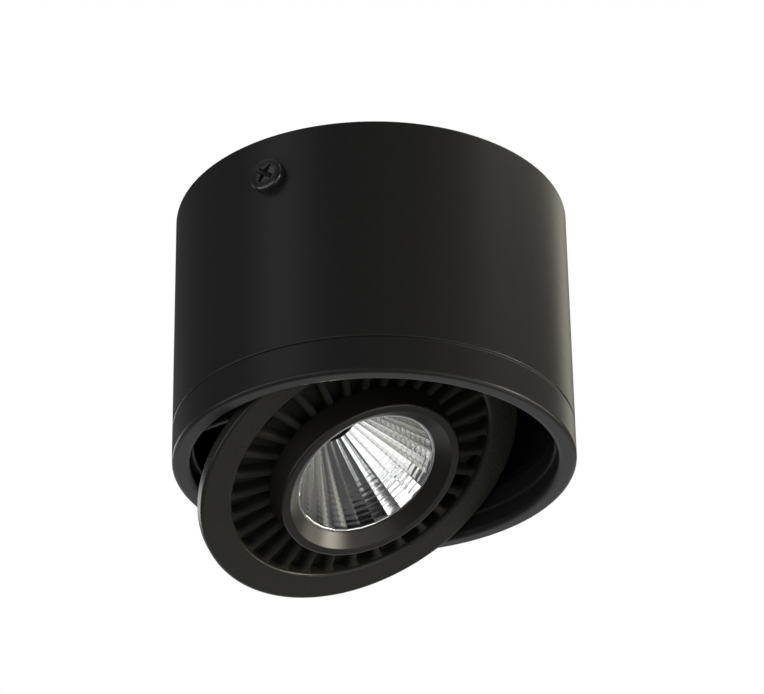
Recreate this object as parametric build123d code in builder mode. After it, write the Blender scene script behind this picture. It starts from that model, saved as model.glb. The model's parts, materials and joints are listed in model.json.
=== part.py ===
"""Surface-mounted ceiling spotlight with a finned head that swivels and tilts.

Millimetres, +Z up. The origin is the centre of the ceiling face, so the lamp hangs below z = 0.
The head faces +X at rest, tilted about an axis along Y. Head pieces are drawn in the head's own frame,
with the origin on the tilt axis and +Z along the head's back, and are then placed at the rest tilt.
"""

import os
from math import cos, radians, sin, sqrt, tan

from build123d import *

os.makedirs("parts", exist_ok=True)

# Clearances between pieces
slip_gap = 0.1
running_gap = 0.1
thread_gap = 0.05

# Housing shell and trim ring
body_radius = 46.0
body_height = 64.0
shell_wall = 1.8
shell_top_chamfer = 0.5
trim_height = 8.7
foot_round = 1.0
opening_round = 1.4
groove_chamfer = 0.35
spigot_wall = 1.5
spigot_above_groove = 2.5
ledge_height = 4.4
ledge_width = 1.0

# Swivel ring and its retaining ring
swivel_wall = 1.6
swivel_height = 4.6
swivel_edge_round = 0.6
retainer_thickness = 1.0
retainer_depth = 0.7
retainer_width = 1.8
retainer_gap_angle = 24.0

# Tilt of the head about a virtual axis in front of its face
tilt_rest = 30.2
tilt_most = 40.0
pivot_drop = 4.6
rim_recess = 2.1

# Guide ears on the swivel ring
ear_thickness = 2.0
ear_margin = 2.0
ear_foot_round = 0.8
ear_end_play = 0.5
ear_rim_clearance = 0.8
ear_side_gap = 0.4
guide_radius = 24.0
guide_half_spread = 9.0

# Head casting
rim_gap = 1.95
rim_width = 7.6
rim_thickness = 3.0
rim_front_round = 0.5
rim_back_round = 0.8
rim_bead = 0.8
skirt_wall = 1.9
skirt_depth = 3.3
fin_count = 32
fin_thickness = 1.9
fin_setback = 0.8
fin_shoulder = 7.5
web_setback = 3.0
web_thickness = 1.5
sink_radius = 25.0
sink_back = 29.4
hub_wall = 1.8
hub_setback = 0.8
sink_floor = 2.4
block_width = 16.0
block_height = 8.0
block_stand_off = 2.7

# Bezel and reflector
mouth_radius = 22.1
mouth_proud = 5.1
lip_width = 2.0
lip_round = 0.5
bezel_flare = 0.7
bezel_spigot_wall = 1.0
bezel_spigot_depth = 4.0
bezel_inner_lip = 0.3
reflector_radius = 16.6
reflector_recess = 2.7
reflector_flange = 0.9
reflector_flange_depth = 0.8
reflector_wall = 0.8
throat_radius = 6.3
bowl_fullness = 0.2

# Light engine
cob_side = 14.0
cob_thickness = 1.2
emitter_radius = 5.9
emitter_thickness = 0.6
pad_thickness = 0.4
holder_radius = 12.0
holder_bore = 6.1
holder_roof = 1.2
cob_screw_radius = 1.0
cob_screw_head_radius = 1.9
cob_screw_head_height = 1.2
cob_screw_circle = 9.6
cob_screw_depth = 2.0
cob_lead_radius = 0.6
cob_lead_spacing = 3.0

# Tilt screws and washers
shoulder_radius = 2.0
tilt_thread_radius = 1.5
tilt_thread_length = 5.0
tilt_head_radius = 3.3
tilt_head_height = 1.8
washer_radius = 3.5
friction_washer_thickness = 0.8
spring_washer_thickness = 0.6
recess_width = 1.0
recess_depth = 1.0

# Side screws
side_screw_azimuth = -82.9
side_screw_drop = 11.1
side_screw_radius = 2.0
side_head_radius = 4.0
side_head_height = 2.6
side_head_round = 1.2
side_recess_span = 4.6
side_recess_width = 1.0
side_recess_depth = 1.4
side_recess_turn = 53.0
shell_hole_clearance = 0.2
side_screw_reach = 3.0

# Ceiling plate
plate_thickness = 1.5
plate_gap = 0.6
tab_width = 14.0
tab_below_screw = 6.0
slot_spacing = 60.0
slot_length = 14.0
slot_width = 5.0
cable_azimuth = 41.3
cable_inset = 10.3
cable_hole_radius = 6.0
bush_bore = 4.2
bush_flange = 2.0
bush_flange_depth = 1.5

# Driver
driver_length = 44.0
driver_block_gap = 8.5
driver_width = 27.0
driver_depth = 19.0
driver_wall = 1.5
lid_thickness = 2.0
lid_ear_length = 6.0
lid_ear_width = 10.0
driver_screw_radius = 1.5
driver_screw_head_radius = 2.8
driver_screw_head_height = 1.8
driver_corner = 2.0
board_gap = 0.5
board_thickness = 1.6
board_rail_height = 3.5
board_rail_width = 2.0
transformer_length = 16.0
transformer_width = 15.0
transformer_height = 9.0
transformer_chamfer = 1.6
transformer_x = 6.0
capacitor_radius = 4.5
capacitor_height = 9.5
capacitor_x = -14.0
capacitor_spacing = 11.0
output_gland_radius = 3.6
output_gland_height = 2.5
output_gland_stem = 2.2

# Terminal block and earth
block_inset = 11.6
terminal_length = 13.0
terminal_width = 20.0
terminal_height = 14.0
terminal_pitch = 6.4
terminal_screw_radius = 1.6
terminal_screw_length = 5.0
terminal_bore = 1.4
terminal_bore_height = 4.5
fixing_radius = 1.0
fixing_head_radius = 1.5
fixing_head_height = 0.8
driver_lead_radius = 0.9
earth_azimuth = -60.0
earth_inset = 13.6
earth_screw_radius = 2.0
earth_head_radius = 3.8
earth_head_height = 2.4
earth_tag_radius = 5.0
earth_tag_thickness = 0.8
earth_tag_length = 12.0
earth_tag_width = 5.0

# Lead from the driver to the head
lead_radius = 1.2
lead_drop = 8.5
lead_end_run = 1.5
lead_bend_share = 0.45
gland_offset = 14.0
gland_radius = 3.0
gland_height = 3.0
gland_stem_radius = 2.2
gland_taper = 12.0

# Heights and radii that follow from the driving sizes
shell_inner_radius = body_radius - shell_wall
trim_shoulder_z = trim_height - body_height
ledge_z = ledge_height - body_height
spigot_radius = shell_inner_radius - slip_gap
seat_radius = spigot_radius - spigot_wall
opening_radius = seat_radius - ledge_width
swivel_radius = seat_radius - running_gap
swivel_inner_radius = swivel_radius - swivel_wall
swivel_top_z = ledge_z + swivel_height
retainer_z = swivel_top_z + running_gap
retainer_groove_radius = seat_radius + retainer_depth
groove_top_z = retainer_z + retainer_thickness + slip_gap
spigot_top_z = groove_top_z + spigot_above_groove
pivot_z = -body_height - pivot_drop

rim_front = pivot_drop + rim_recess
rim_back = rim_front + rim_thickness
rim_radius = opening_radius - rim_gap
rim_inner_radius = rim_radius - rim_width
fin_front = rim_front + fin_setback
web_front = fin_front + web_setback
skirt_back = rim_back + skirt_depth
rebate_radius = reflector_radius + reflector_flange + slip_gap
hub_bore = rebate_radius + bezel_spigot_wall + slip_gap
hub_radius = hub_bore + hub_wall
hub_front = rim_front + hub_setback
floor_front = sink_back - sink_floor

mouth_front = rim_front - mouth_proud
reflector_front = mouth_front + reflector_recess
holder_front = floor_front - pad_thickness - cob_thickness - emitter_thickness - holder_roof
board_front = floor_front - pad_thickness - cob_thickness

ear_face_y = sink_radius + block_stand_off + friction_washer_thickness + running_gap
ear_back_y = ear_face_y + ear_thickness
block_face_y = sink_radius + block_stand_off
slot_half_width = shoulder_radius + running_gap
guide_pin_x = guide_radius * sin(radians(guide_half_spread))
guide_pin_s = guide_radius * cos(radians(guide_half_spread))
lower_slot_angle = -guide_half_spread - ear_end_play
upper_slot_angle = tilt_most + guide_half_spread + ear_end_play

plate_radius = shell_inner_radius - plate_gap
cable_x = (plate_radius - cable_inset) * cos(radians(cable_azimuth))
cable_y = (plate_radius - cable_inset) * sin(radians(cable_azimuth))
earth_x = (plate_radius - earth_inset) * cos(radians(earth_azimuth))
earth_y = (plate_radius - earth_inset) * sin(radians(earth_azimuth))
tab_face = sqrt(shell_inner_radius**2 - (tab_width / 2) ** 2) - slip_gap
tab_bottom_z = -side_screw_drop - tab_below_screw
block_x = plate_radius - block_inset
block_side_x = block_x - terminal_length / 2
driver_end_x = block_side_x - driver_block_gap
driver_x = driver_end_x - driver_length / 2
lid_z = -plate_thickness - lid_thickness
driver_bottom_z = lid_z - driver_depth
board_z = driver_bottom_z + driver_wall + board_rail_height
parts_z = board_z + board_thickness
ear_screw_x = driver_length / 2 + lid_ear_length / 2
gland_tip_z = driver_bottom_z - output_gland_height

HEAD_AT_REST = Location((0, 0, pivot_z), (0, -tilt_rest, 0))
HEAD_SECTION = Plane.XZ
EAR_SIDE = Plane(origin=(0, ear_back_y, pivot_z), x_dir=(1, 0, 0), z_dir=(0, -1, 0))


def write(piece, label):
    """Labels a finished piece and writes it as its own file."""
    piece.label = label
    export_step(piece, f"parts/{label}.step")


def write_head(piece, label):
    """Places a piece of the head at its rest tilt and writes it."""
    write(piece.moved(HEAD_AT_REST), label)


def radial_plane(azimuth, radius, height):
    """A plane that faces outwards at one azimuth, its local Y axis upright."""
    angle = radians(azimuth)
    outward = Vector(cos(angle), sin(angle), 0)
    sideways = Vector(-sin(angle), cos(angle), 0)
    return Plane(origin=outward * radius + Vector(0, 0, height), x_dir=sideways, z_dir=outward)


def flank_plane(side, distance):
    """A plane beside the head, facing outwards along +Y or -Y, its local Y axis along the head's back."""
    return Plane(origin=(0, side * distance, 0), x_dir=(-side, 0, 0), z_dir=(0, side, 0))


def cross_recess(plane, span, width, depth, turn):
    """Cuts a cross-shaped screwdriver recess from the face on which the plane lies."""
    with BuildSketch(plane) as cross:
        Rectangle(span, width, rotation=turn)
        Rectangle(width, span, rotation=turn)
    extrude(cross.sketch, amount=-depth, mode=Mode.SUBTRACT)


# Ceiling plate with two bent tabs, screw slots and the cable hole
screw_azimuths = (side_screw_azimuth, side_screw_azimuth + 180)
with BuildPart() as ceiling_plate:
    with BuildSketch(Plane.XY.offset(-plate_thickness)):
        Circle(plate_radius)
        with GridLocations(0, slot_spacing, 1, 2):
            SlotOverall(slot_length, slot_width, rotation=90, mode=Mode.SUBTRACT)
        with Locations((cable_x, cable_y)):
            Circle(cable_hole_radius, mode=Mode.SUBTRACT)
        with Locations((driver_x - ear_screw_x, 0), (driver_x + ear_screw_x, 0)):
            Circle(driver_screw_radius + thread_gap, mode=Mode.SUBTRACT)
        with Locations((block_x, terminal_pitch / 2), (block_x, -terminal_pitch / 2)):
            Circle(fixing_radius + thread_gap, mode=Mode.SUBTRACT)
        with Locations((earth_x, earth_y)):
            Circle(earth_screw_radius + thread_gap, mode=Mode.SUBTRACT)
    extrude(amount=plate_thickness)
    for azimuth in screw_azimuths:
        tab_height = -tab_bottom_z - plate_thickness
        with BuildSketch(radial_plane(azimuth, tab_face, tab_bottom_z + tab_height / 2)):
            Rectangle(tab_width, tab_height)
        extrude(amount=-plate_thickness)
        with BuildSketch(radial_plane(azimuth, tab_face, -side_screw_drop)):
            Circle(side_screw_radius + thread_gap)
        extrude(amount=-plate_thickness, mode=Mode.SUBTRACT)
write(ceiling_plate.part, "ceiling_plate")

# Bush that guards the cable in the plate's hole
with BuildPart() as cable_bush:
    with BuildSketch(Plane.XY.offset(-plate_thickness - bush_flange_depth)):
        with Locations((cable_x, cable_y)):
            Circle(cable_hole_radius + bush_flange)
    extrude(amount=bush_flange_depth)
    with BuildSketch(Plane.XY.offset(-plate_thickness)):
        with Locations((cable_x, cable_y)):
            Circle(cable_hole_radius - thread_gap)
    extrude(amount=plate_thickness)
    with BuildSketch(Plane.XY):
        with Locations((cable_x, cable_y)):
            Circle(bush_bore)
    extrude(amount=-plate_thickness - bush_flange_depth, mode=Mode.SUBTRACT)
write(cable_bush.part, "cable_bush")

# Housing shell, a tube with a clearance hole for each side screw
with BuildPart() as housing_shell:
    with BuildSketch(Plane.XZ):
        with BuildLine():
            Polyline(
                (shell_inner_radius, 0),
                (body_radius - shell_top_chamfer, 0),
                (body_radius, -shell_top_chamfer),
                (body_radius, trim_shoulder_z + groove_chamfer),
                (body_radius - groove_chamfer, trim_shoulder_z),
                (shell_inner_radius, trim_shoulder_z),
                close=True,
            )
        make_face()
    revolve(axis=Axis.Z)
    for azimuth in screw_azimuths:
        with BuildSketch(radial_plane(azimuth, body_radius, -side_screw_drop)):
            Circle(side_screw_radius + shell_hole_clearance)
        extrude(amount=-2 * shell_wall, mode=Mode.SUBTRACT)
write(housing_shell.part, "housing_shell")

# Side screws with round cross-recessed heads
with BuildPart() as side_screws:
    for azimuth in screw_azimuths:
        seat = radial_plane(azimuth, body_radius, -side_screw_drop)
        with BuildSketch(seat):
            Circle(side_head_radius)
        head = extrude(amount=side_head_height)
        crown = head.faces().sort_by(Axis(seat.origin, seat.z_dir))[-1]
        fillet(crown.edges(), side_head_round)
        with BuildSketch(seat):
            Circle(side_screw_radius)
        extrude(amount=-(body_radius - tab_face + plate_thickness + side_screw_reach))
        top = seat.offset(side_head_height)
        cross_recess(top, side_recess_span, side_recess_width, side_recess_depth, side_recess_turn)
write(side_screws.part, "side_screws")

# Trim ring with a rounded foot, a spigot into the shell, a ledge for the swivel ring and a retainer groove
with BuildPart() as trim_ring:
    with BuildSketch(Plane.XZ):
        with BuildLine():
            Polyline(
                (opening_radius, -body_height),
                (body_radius, -body_height),
                (body_radius, trim_shoulder_z - groove_chamfer),
                (body_radius - groove_chamfer, trim_shoulder_z),
                (spigot_radius, trim_shoulder_z),
                (spigot_radius, spigot_top_z),
                (seat_radius, spigot_top_z),
                (seat_radius, groove_top_z),
                (retainer_groove_radius, groove_top_z),
                (retainer_groove_radius, retainer_z),
                (seat_radius, retainer_z),
                (seat_radius, ledge_z),
                (opening_radius, ledge_z),
                close=True,
            )
        make_face()
    revolve(axis=Axis.Z)
    foot_edges = trim_ring.edges().filter_by(GeomType.CIRCLE).group_by(Axis.Z)[0]
    fillet(foot_edges.sort_by(SortBy.RADIUS)[-1], foot_round)
    foot_edges = trim_ring.edges().filter_by(GeomType.CIRCLE).group_by(Axis.Z)[0]
    fillet(foot_edges.sort_by(SortBy.RADIUS)[0], opening_round)
write(trim_ring.part, "trim_ring")

# Split retaining ring in the groove above the swivel ring
with BuildPart() as retaining_ring:
    with BuildSketch(Plane.XY.offset(retainer_z)):
        Circle(retainer_groove_radius - slip_gap)
        Circle(retainer_groove_radius - slip_gap - retainer_width, mode=Mode.SUBTRACT)
        half_gap = retainer_groove_radius * tan(radians(retainer_gap_angle / 2))
        with BuildLine():
            Polyline(
                (0, 0),
                (retainer_groove_radius, half_gap),
                (retainer_groove_radius, -half_gap),
                close=True,
            )
        make_face(mode=Mode.SUBTRACT)
    extrude(amount=retainer_thickness)
write(retaining_ring.part, "retaining_ring")


# Swivel ring with two upright ears, each with a slot along an arc about the tilt axis
def guide_arc(start, end):
    """Edge on the guide circle; angles run from straight up towards the head's hanging side."""
    return Edge.make_circle(guide_radius, start_angle=90 + start, end_angle=90 + end)


foot_bottom = rim_back + ear_rim_clearance
foot_top = swivel_top_z - pivot_z
foot_inner_x = guide_radius * sin(radians(upper_slot_angle))
foot_length = swivel_radius - foot_inner_x
with BuildPart() as swivel_ring:
    with BuildSketch(EAR_SIDE):
        SlotArc(guide_arc(lower_slot_angle, upper_slot_angle), 2 * (slot_half_width + ear_margin))
        with Locations((-foot_inner_x, foot_bottom)):
            Rectangle(foot_length, foot_top - foot_bottom, align=(Align.MAX, Align.MIN))
        SlotArc(guide_arc(lower_slot_angle, upper_slot_angle), 2 * slot_half_width, mode=Mode.SUBTRACT)
    extrude(amount=ear_thickness)
    mirror(about=Plane.XZ)
    with BuildSketch(Plane.XY.offset(ledge_z)):
        Circle(swivel_radius - swivel_wall / 2)
    extrude(amount=body_height, mode=Mode.INTERSECT)
    with BuildSketch(Plane.XY.offset(ledge_z)):
        Circle(swivel_radius)
        Circle(swivel_inner_radius, mode=Mode.SUBTRACT)
    extrude(amount=swivel_height)
    lower_edges = swivel_ring.edges().filter_by(GeomType.CIRCLE).group_by(Axis.Z)[0]
    fillet(lower_edges.sort_by(SortBy.RADIUS)[0], swivel_edge_round)
    foot_edges = swivel_ring.edges().filter_by(Axis.X).group_by(Axis.Z)[0]
    fillet(foot_edges, ear_foot_round)
write(swivel_ring.part, "swivel_ring")

# Driver lid, screwed up against the ceiling plate by an ear at each end
with BuildPart() as driver_lid:
    with BuildSketch(Plane.XY.offset(lid_z)):
        with Locations((driver_x, 0)):
            RectangleRounded(driver_length, driver_width, driver_corner)
            Rectangle(driver_length + 2 * lid_ear_length, lid_ear_width)
        with Locations((driver_x - ear_screw_x, 0), (driver_x + ear_screw_x, 0)):
            Circle(driver_screw_radius + slip_gap, mode=Mode.SUBTRACT)
    extrude(amount=lid_thickness)
write(driver_lid.part, "driver_lid")

# Driver case, a tub with two rails that carry the circuit board
with BuildPart() as driver_case:
    with BuildSketch(Plane.XY.offset(driver_bottom_z)):
        with Locations((driver_x, 0)):
            RectangleRounded(driver_length, driver_width, driver_corner)
    extrude(amount=driver_depth)
    with BuildSketch(Plane.XY.offset(driver_bottom_z + driver_wall)):
        with Locations((driver_x, 0)):
            Rectangle(driver_length - 2 * driver_wall, driver_width - 2 * driver_wall)
    extrude(amount=driver_depth, mode=Mode.SUBTRACT)
    with BuildSketch(Plane.XY.offset(driver_bottom_z + driver_wall)):
        with Locations((driver_x, 0)):
            with GridLocations(0, driver_width - 2 * driver_wall - board_rail_width, 1, 2):
                Rectangle(driver_length - 2 * driver_wall, board_rail_width)
    extrude(amount=board_rail_height)
    with BuildSketch(Plane.XY.offset(driver_bottom_z)):
        Circle(output_gland_stem + thread_gap)
    extrude(amount=driver_wall, mode=Mode.SUBTRACT)
write(driver_case.part, "driver_case")

# Circuit board and the parts that stand on it
with BuildPart() as driver_board:
    with BuildSketch(Plane.XY.offset(board_z)):
        with Locations((driver_x, 0)):
            Rectangle(
                driver_length - 2 * driver_wall - board_gap,
                driver_width - 2 * driver_wall - board_gap,
            )
    extrude(amount=board_thickness)
write(driver_board.part, "driver_board")

with BuildPart() as driver_transformer:
    with BuildSketch(Plane.XY.offset(parts_z)):
        with Locations((driver_x + transformer_x, 0)):
            Rectangle(transformer_length, transformer_width)
    extrude(amount=transformer_height)
    upright_edges = driver_transformer.edges().filter_by(Axis.Z)
    chamfer(upright_edges, transformer_chamfer)
write(driver_transformer.part, "driver_transformer")

with BuildPart() as driver_capacitors:
    with BuildSketch(Plane.XY.offset(parts_z)):
        with Locations((driver_x + capacitor_x, 0)):
            with GridLocations(0, capacitor_spacing, 1, 2):
                Circle(capacitor_radius)
    extrude(amount=capacitor_height)
write(driver_capacitors.part, "driver_capacitors")

# Screws that hold the driver lid to the plate
with BuildPart() as driver_screws:
    with BuildSketch(Plane.XY.offset(lid_z - driver_screw_head_height)):
        with Locations((driver_x - ear_screw_x, 0), (driver_x + ear_screw_x, 0)):
            Circle(driver_screw_head_radius)
    extrude(amount=driver_screw_head_height)
    with BuildSketch(Plane.XY.offset(lid_z)):
        with Locations((driver_x - ear_screw_x, 0), (driver_x + ear_screw_x, 0)):
            Circle(driver_screw_radius)
    extrude(amount=lid_thickness + plate_thickness)
    for screw_x in (driver_x - ear_screw_x, driver_x + ear_screw_x):
        under = Plane(origin=(screw_x, 0, lid_z - driver_screw_head_height), z_dir=(0, 0, -1))
        cross_recess(under, driver_screw_head_radius, recess_width, recess_depth, 0)
write(driver_screws.part, "driver_screws")

# Gland in the floor of the driver case, on the swivel axis
with BuildPart() as output_gland:
    with BuildSketch(Plane.XY.offset(driver_bottom_z)):
        Circle(output_gland_radius)
    extrude(amount=-output_gland_height, taper=gland_taper)
    with BuildSketch(Plane.XY.offset(driver_bottom_z)):
        Circle(output_gland_stem)
    extrude(amount=driver_wall)
write(output_gland.part, "output_gland")

# Terminal block on the plate, with a wire bore and a screw for each pole
terminal_bottom_z = -plate_thickness - terminal_height
with BuildPart() as terminal_block:
    with BuildSketch(Plane.XY.offset(-plate_thickness)):
        with Locations((block_x, 0)):
            Rectangle(terminal_length, terminal_width)
    extrude(amount=-terminal_height)
    with BuildSketch(Plane.YZ.offset(block_x + terminal_length / 2)):
        with Locations((0, -plate_thickness - terminal_bore_height)):
            with GridLocations(terminal_pitch, 0, 3, 1):
                Circle(terminal_bore)
    extrude(amount=-terminal_length / 2, mode=Mode.SUBTRACT)
    with BuildSketch(Plane.XY.offset(terminal_bottom_z)):
        with Locations((block_x, 0)):
            with GridLocations(0, terminal_pitch, 1, 3):
                Circle(terminal_screw_radius + thread_gap)
    extrude(amount=terminal_screw_length, mode=Mode.SUBTRACT)
    with BuildSketch(Plane.XY.offset(terminal_bottom_z)):
        with Locations((block_x, 0)):
            with GridLocations(0, terminal_pitch, 1, 2):
                Circle(fixing_radius + slip_gap)
    extrude(amount=terminal_height, mode=Mode.SUBTRACT)
write(terminal_block.part, "terminal_block")

with BuildPart() as terminal_screws:
    with BuildSketch(Plane.XY.offset(terminal_bottom_z + recess_depth)):
        with Locations((block_x, 0)):
            with GridLocations(0, terminal_pitch, 1, 3):
                Circle(terminal_screw_radius)
    extrude(amount=terminal_screw_length - recess_depth)
write(terminal_screws.part, "terminal_screws")

with BuildPart() as block_screws:
    with BuildSketch(Plane.XY.offset(terminal_bottom_z)):
        with Locations((block_x, 0)):
            with GridLocations(0, terminal_pitch, 1, 2):
                Circle(fixing_radius)
    extrude(amount=terminal_height + plate_thickness)
    with BuildSketch(Plane.XY.offset(terminal_bottom_z)):
        with Locations((block_x, 0)):
            with GridLocations(0, terminal_pitch, 1, 2):
                Circle(fixing_head_radius)
    extrude(amount=-fixing_head_height)
write(block_screws.part, "block_screws")

# Short leads from the terminal block to the driver case
lead_z = -plate_thickness - terminal_height / 2
with BuildPart() as driver_leads:
    with BuildSketch(Plane.YZ.offset(driver_end_x)):
        with Locations((0, lead_z)):
            with GridLocations(2 * terminal_pitch, 0, 2, 1):
                Circle(driver_lead_radius)
    extrude(amount=block_side_x - driver_end_x)
write(driver_leads.part, "driver_leads")

# Earth screw and its flat tag
with BuildPart() as earth_tag:
    with BuildSketch(Plane.XY.offset(-plate_thickness)):
        with Locations((earth_x, earth_y)):
            Circle(earth_tag_radius)
            Rectangle(earth_tag_length, earth_tag_width, align=(Align.MIN, Align.CENTER))
            Circle(earth_screw_radius + slip_gap, mode=Mode.SUBTRACT)
    extrude(amount=-earth_tag_thickness)
write(earth_tag.part, "earth_tag")

earth_seat_z = -plate_thickness - earth_tag_thickness
with BuildPart() as earth_screw:
    with BuildSketch(Plane.XY.offset(earth_seat_z)):
        with Locations((earth_x, earth_y)):
            Circle(earth_head_radius)
    extrude(amount=-earth_head_height)
    with BuildSketch(Plane.XY.offset(earth_seat_z)):
        with Locations((earth_x, earth_y)):
            Circle(earth_screw_radius)
    extrude(amount=earth_tag_thickness + plate_thickness)
    earth_crown = Plane(origin=(earth_x, earth_y, earth_seat_z - earth_head_height), z_dir=(0, 0, -1))
    cross_recess(earth_crown, earth_head_radius, recess_width, recess_depth, 0)
write(earth_screw.part, "earth_screw")

# One cooling fin, from the hub out to the rim and back along the heat sink
with BuildPart() as fin:
    with BuildSketch(HEAD_SECTION):
        with BuildLine():
            Polyline(
                (hub_radius - hub_wall / 2, fin_front),
                (rim_inner_radius + skirt_wall / 2, fin_front),
                (rim_inner_radius + skirt_wall / 2, skirt_back),
                (sink_radius, skirt_back + fin_shoulder),
                (sink_radius, sink_back),
                (hub_radius - hub_wall / 2, sink_back),
                close=True,
            )
        make_face()
    extrude(amount=fin_thickness / 2, both=True)

# Head casting: rim, fins on a web, cup for the light engine and a block at each side for the tilt screws
with BuildPart() as heat_sink:
    with BuildSketch(HEAD_SECTION):
        with BuildLine():
            Polyline(
                (rim_inner_radius + rim_bead, rim_front),
                (rim_radius - rim_front_round, rim_front),
                (rim_radius, rim_front + rim_front_round),
                (rim_radius, rim_back - rim_back_round),
                (rim_radius - rim_back_round, rim_back),
                (rim_inner_radius + skirt_wall, rim_back),
                (rim_inner_radius + skirt_wall, skirt_back),
                (rim_inner_radius, skirt_back),
                (rim_inner_radius, rim_front + rim_bead),
                close=True,
            )
        make_face()
        with BuildLine():
            Polyline(
                (hub_bore, hub_front),
                (hub_radius, hub_front),
                (hub_radius, sink_back),
                (0, sink_back),
                (0, floor_front),
                (hub_bore, floor_front),
                close=True,
            )
        make_face()
    revolve(axis=Axis.Z)
    with BuildSketch(Plane.XY.offset(web_front)):
        Circle(rim_inner_radius + skirt_wall / 2)
        Circle(hub_radius - hub_wall / 2, mode=Mode.SUBTRACT)
    extrude(amount=web_thickness)
    with PolarLocations(0, fin_count):
        add(fin.part)
    ear_room_y = ear_face_y - ear_side_gap
    with BuildSketch(Plane.XY.offset(rim_back)):
        Rectangle(2 * rim_radius, 2 * rim_radius)
        Rectangle(2 * rim_radius, 2 * ear_room_y, mode=Mode.SUBTRACT)
    extrude(amount=sink_back, mode=Mode.SUBTRACT)
    for side in (1, -1):
        flank = flank_plane(side, block_face_y)
        with BuildSketch(flank):
            with Locations((0, guide_pin_s)):
                Rectangle(block_width, block_height)
        extrude(amount=hub_bore - block_face_y)
        with BuildSketch(flank):
            with Locations((guide_pin_x, guide_pin_s), (-guide_pin_x, guide_pin_s)):
                Circle(tilt_thread_radius + thread_gap)
        extrude(amount=-tilt_thread_length, mode=Mode.SUBTRACT)
    with BuildSketch(Plane.XY.offset(holder_front)):
        Circle(hub_bore)
    extrude(amount=floor_front - holder_front, mode=Mode.SUBTRACT)
    with BuildSketch(Plane.XY.offset(floor_front)):
        with Locations((0, cob_screw_circle), (0, -cob_screw_circle)):
            Circle(cob_screw_radius + thread_gap)
    extrude(amount=cob_screw_depth, mode=Mode.SUBTRACT)
    with BuildSketch(Plane.XY.offset(floor_front)):
        with Locations((-gland_offset, 0)):
            Circle(gland_stem_radius + thread_gap)
    extrude(amount=sink_floor, mode=Mode.SUBTRACT)
write_head(heat_sink.part, "heat_sink")

# Bezel ring: lip with a rounded outer edge, cone down to the reflector, spigot into the casting's cup
lip_back = mouth_front + lip_round
lip_inset = lip_round * (1 - cos(radians(45)))
with BuildPart() as bezel_ring:
    with BuildSketch(HEAD_SECTION):
        with BuildLine():
            ThreePointArc(
                (mouth_radius, lip_back),
                (mouth_radius - lip_inset, mouth_front + lip_inset),
                (mouth_radius - lip_round, mouth_front),
            )
            Polyline(
                (mouth_radius - lip_round, mouth_front),
                (mouth_radius - lip_width, mouth_front),
                (reflector_radius + bezel_inner_lip, reflector_front),
                (rebate_radius, reflector_front),
                (rebate_radius, hub_front + bezel_spigot_depth),
                (hub_bore - slip_gap, hub_front + bezel_spigot_depth),
                (hub_bore - slip_gap, hub_front),
                (mouth_radius + bezel_flare, hub_front),
                (mouth_radius, lip_back),
            )
        make_face()
    revolve(axis=Axis.Z)
write_head(bezel_ring.part, "bezel_ring")


# Reflector bowl, an arc from the flange down to the throat at the light source
def bowl_arc(top, bottom):
    """Arc between two points of the bowl's wall that bulges outwards by the bowl's fullness."""
    chord = Vector(*bottom) - Vector(*top)
    outwards = Vector(chord.Y, -chord.X).normalized()
    middle = (Vector(*top) + Vector(*bottom)) * 0.5 + outwards * bowl_fullness
    return ThreePointArc(top, (middle.X, middle.Y), bottom)


flange_back = reflector_front + reflector_flange_depth
flange_root = (reflector_radius + reflector_wall, flange_back)
throat_outside = (throat_radius + reflector_wall, holder_front)
with BuildPart() as reflector:
    with BuildSketch(HEAD_SECTION):
        with BuildLine():
            bowl_arc((reflector_radius, reflector_front), (throat_radius, holder_front))
            Line((throat_radius, holder_front), throat_outside)
            bowl_arc(flange_root, throat_outside)
            Polyline(
                flange_root,
                (reflector_radius + reflector_flange, flange_back),
                (reflector_radius + reflector_flange, reflector_front),
                (reflector_radius, reflector_front),
            )
        make_face()
    revolve(axis=Axis.Z)
write_head(reflector.part, "reflector")

# Light engine: emitter on its board, thermal pad, and the holder that clamps them to the casting
with BuildPart() as cob_emitter:
    with BuildSketch(Plane.XY.offset(board_front - emitter_thickness)):
        Circle(emitter_radius)
    extrude(amount=emitter_thickness)
write_head(cob_emitter.part, "cob_emitter")

with BuildPart() as cob_board:
    with BuildSketch(Plane.XY.offset(board_front)):
        Rectangle(cob_side, cob_side)
    extrude(amount=cob_thickness)
write_head(cob_board.part, "cob_board")

with BuildPart() as thermal_pad:
    with BuildSketch(Plane.XY.offset(board_front + cob_thickness)):
        Rectangle(cob_side, cob_side)
    extrude(amount=pad_thickness)
write_head(thermal_pad.part, "thermal_pad")

notch_height = 2 * cob_lead_radius + slip_gap
notch_width = cob_lead_spacing + 2 * cob_lead_radius + 2 * slip_gap
with BuildPart() as cob_holder:
    with BuildSketch(Plane.XY.offset(holder_front)):
        Circle(holder_radius)
        Circle(holder_bore, mode=Mode.SUBTRACT)
    extrude(amount=floor_front - holder_front)
    with BuildSketch(Plane.XY.offset(board_front)):
        Rectangle(cob_side + 2 * slip_gap, cob_side + 2 * slip_gap)
    extrude(amount=floor_front - board_front, mode=Mode.SUBTRACT)
    with BuildSketch(Plane.XY.offset(board_front)):
        Rectangle(holder_radius, notch_width, align=(Align.MAX, Align.CENTER))
    extrude(amount=-notch_height, mode=Mode.SUBTRACT)
    with BuildSketch(Plane.XY.offset(holder_front)):
        with Locations((0, cob_screw_circle), (0, -cob_screw_circle)):
            Circle(cob_screw_head_radius + slip_gap)
    extrude(amount=cob_screw_head_height, mode=Mode.SUBTRACT)
    with BuildSketch(Plane.XY.offset(holder_front)):
        with Locations((0, cob_screw_circle), (0, -cob_screw_circle)):
            Circle(cob_screw_radius + slip_gap)
    extrude(amount=floor_front - holder_front, mode=Mode.SUBTRACT)
write_head(cob_holder.part, "cob_holder")

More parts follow.
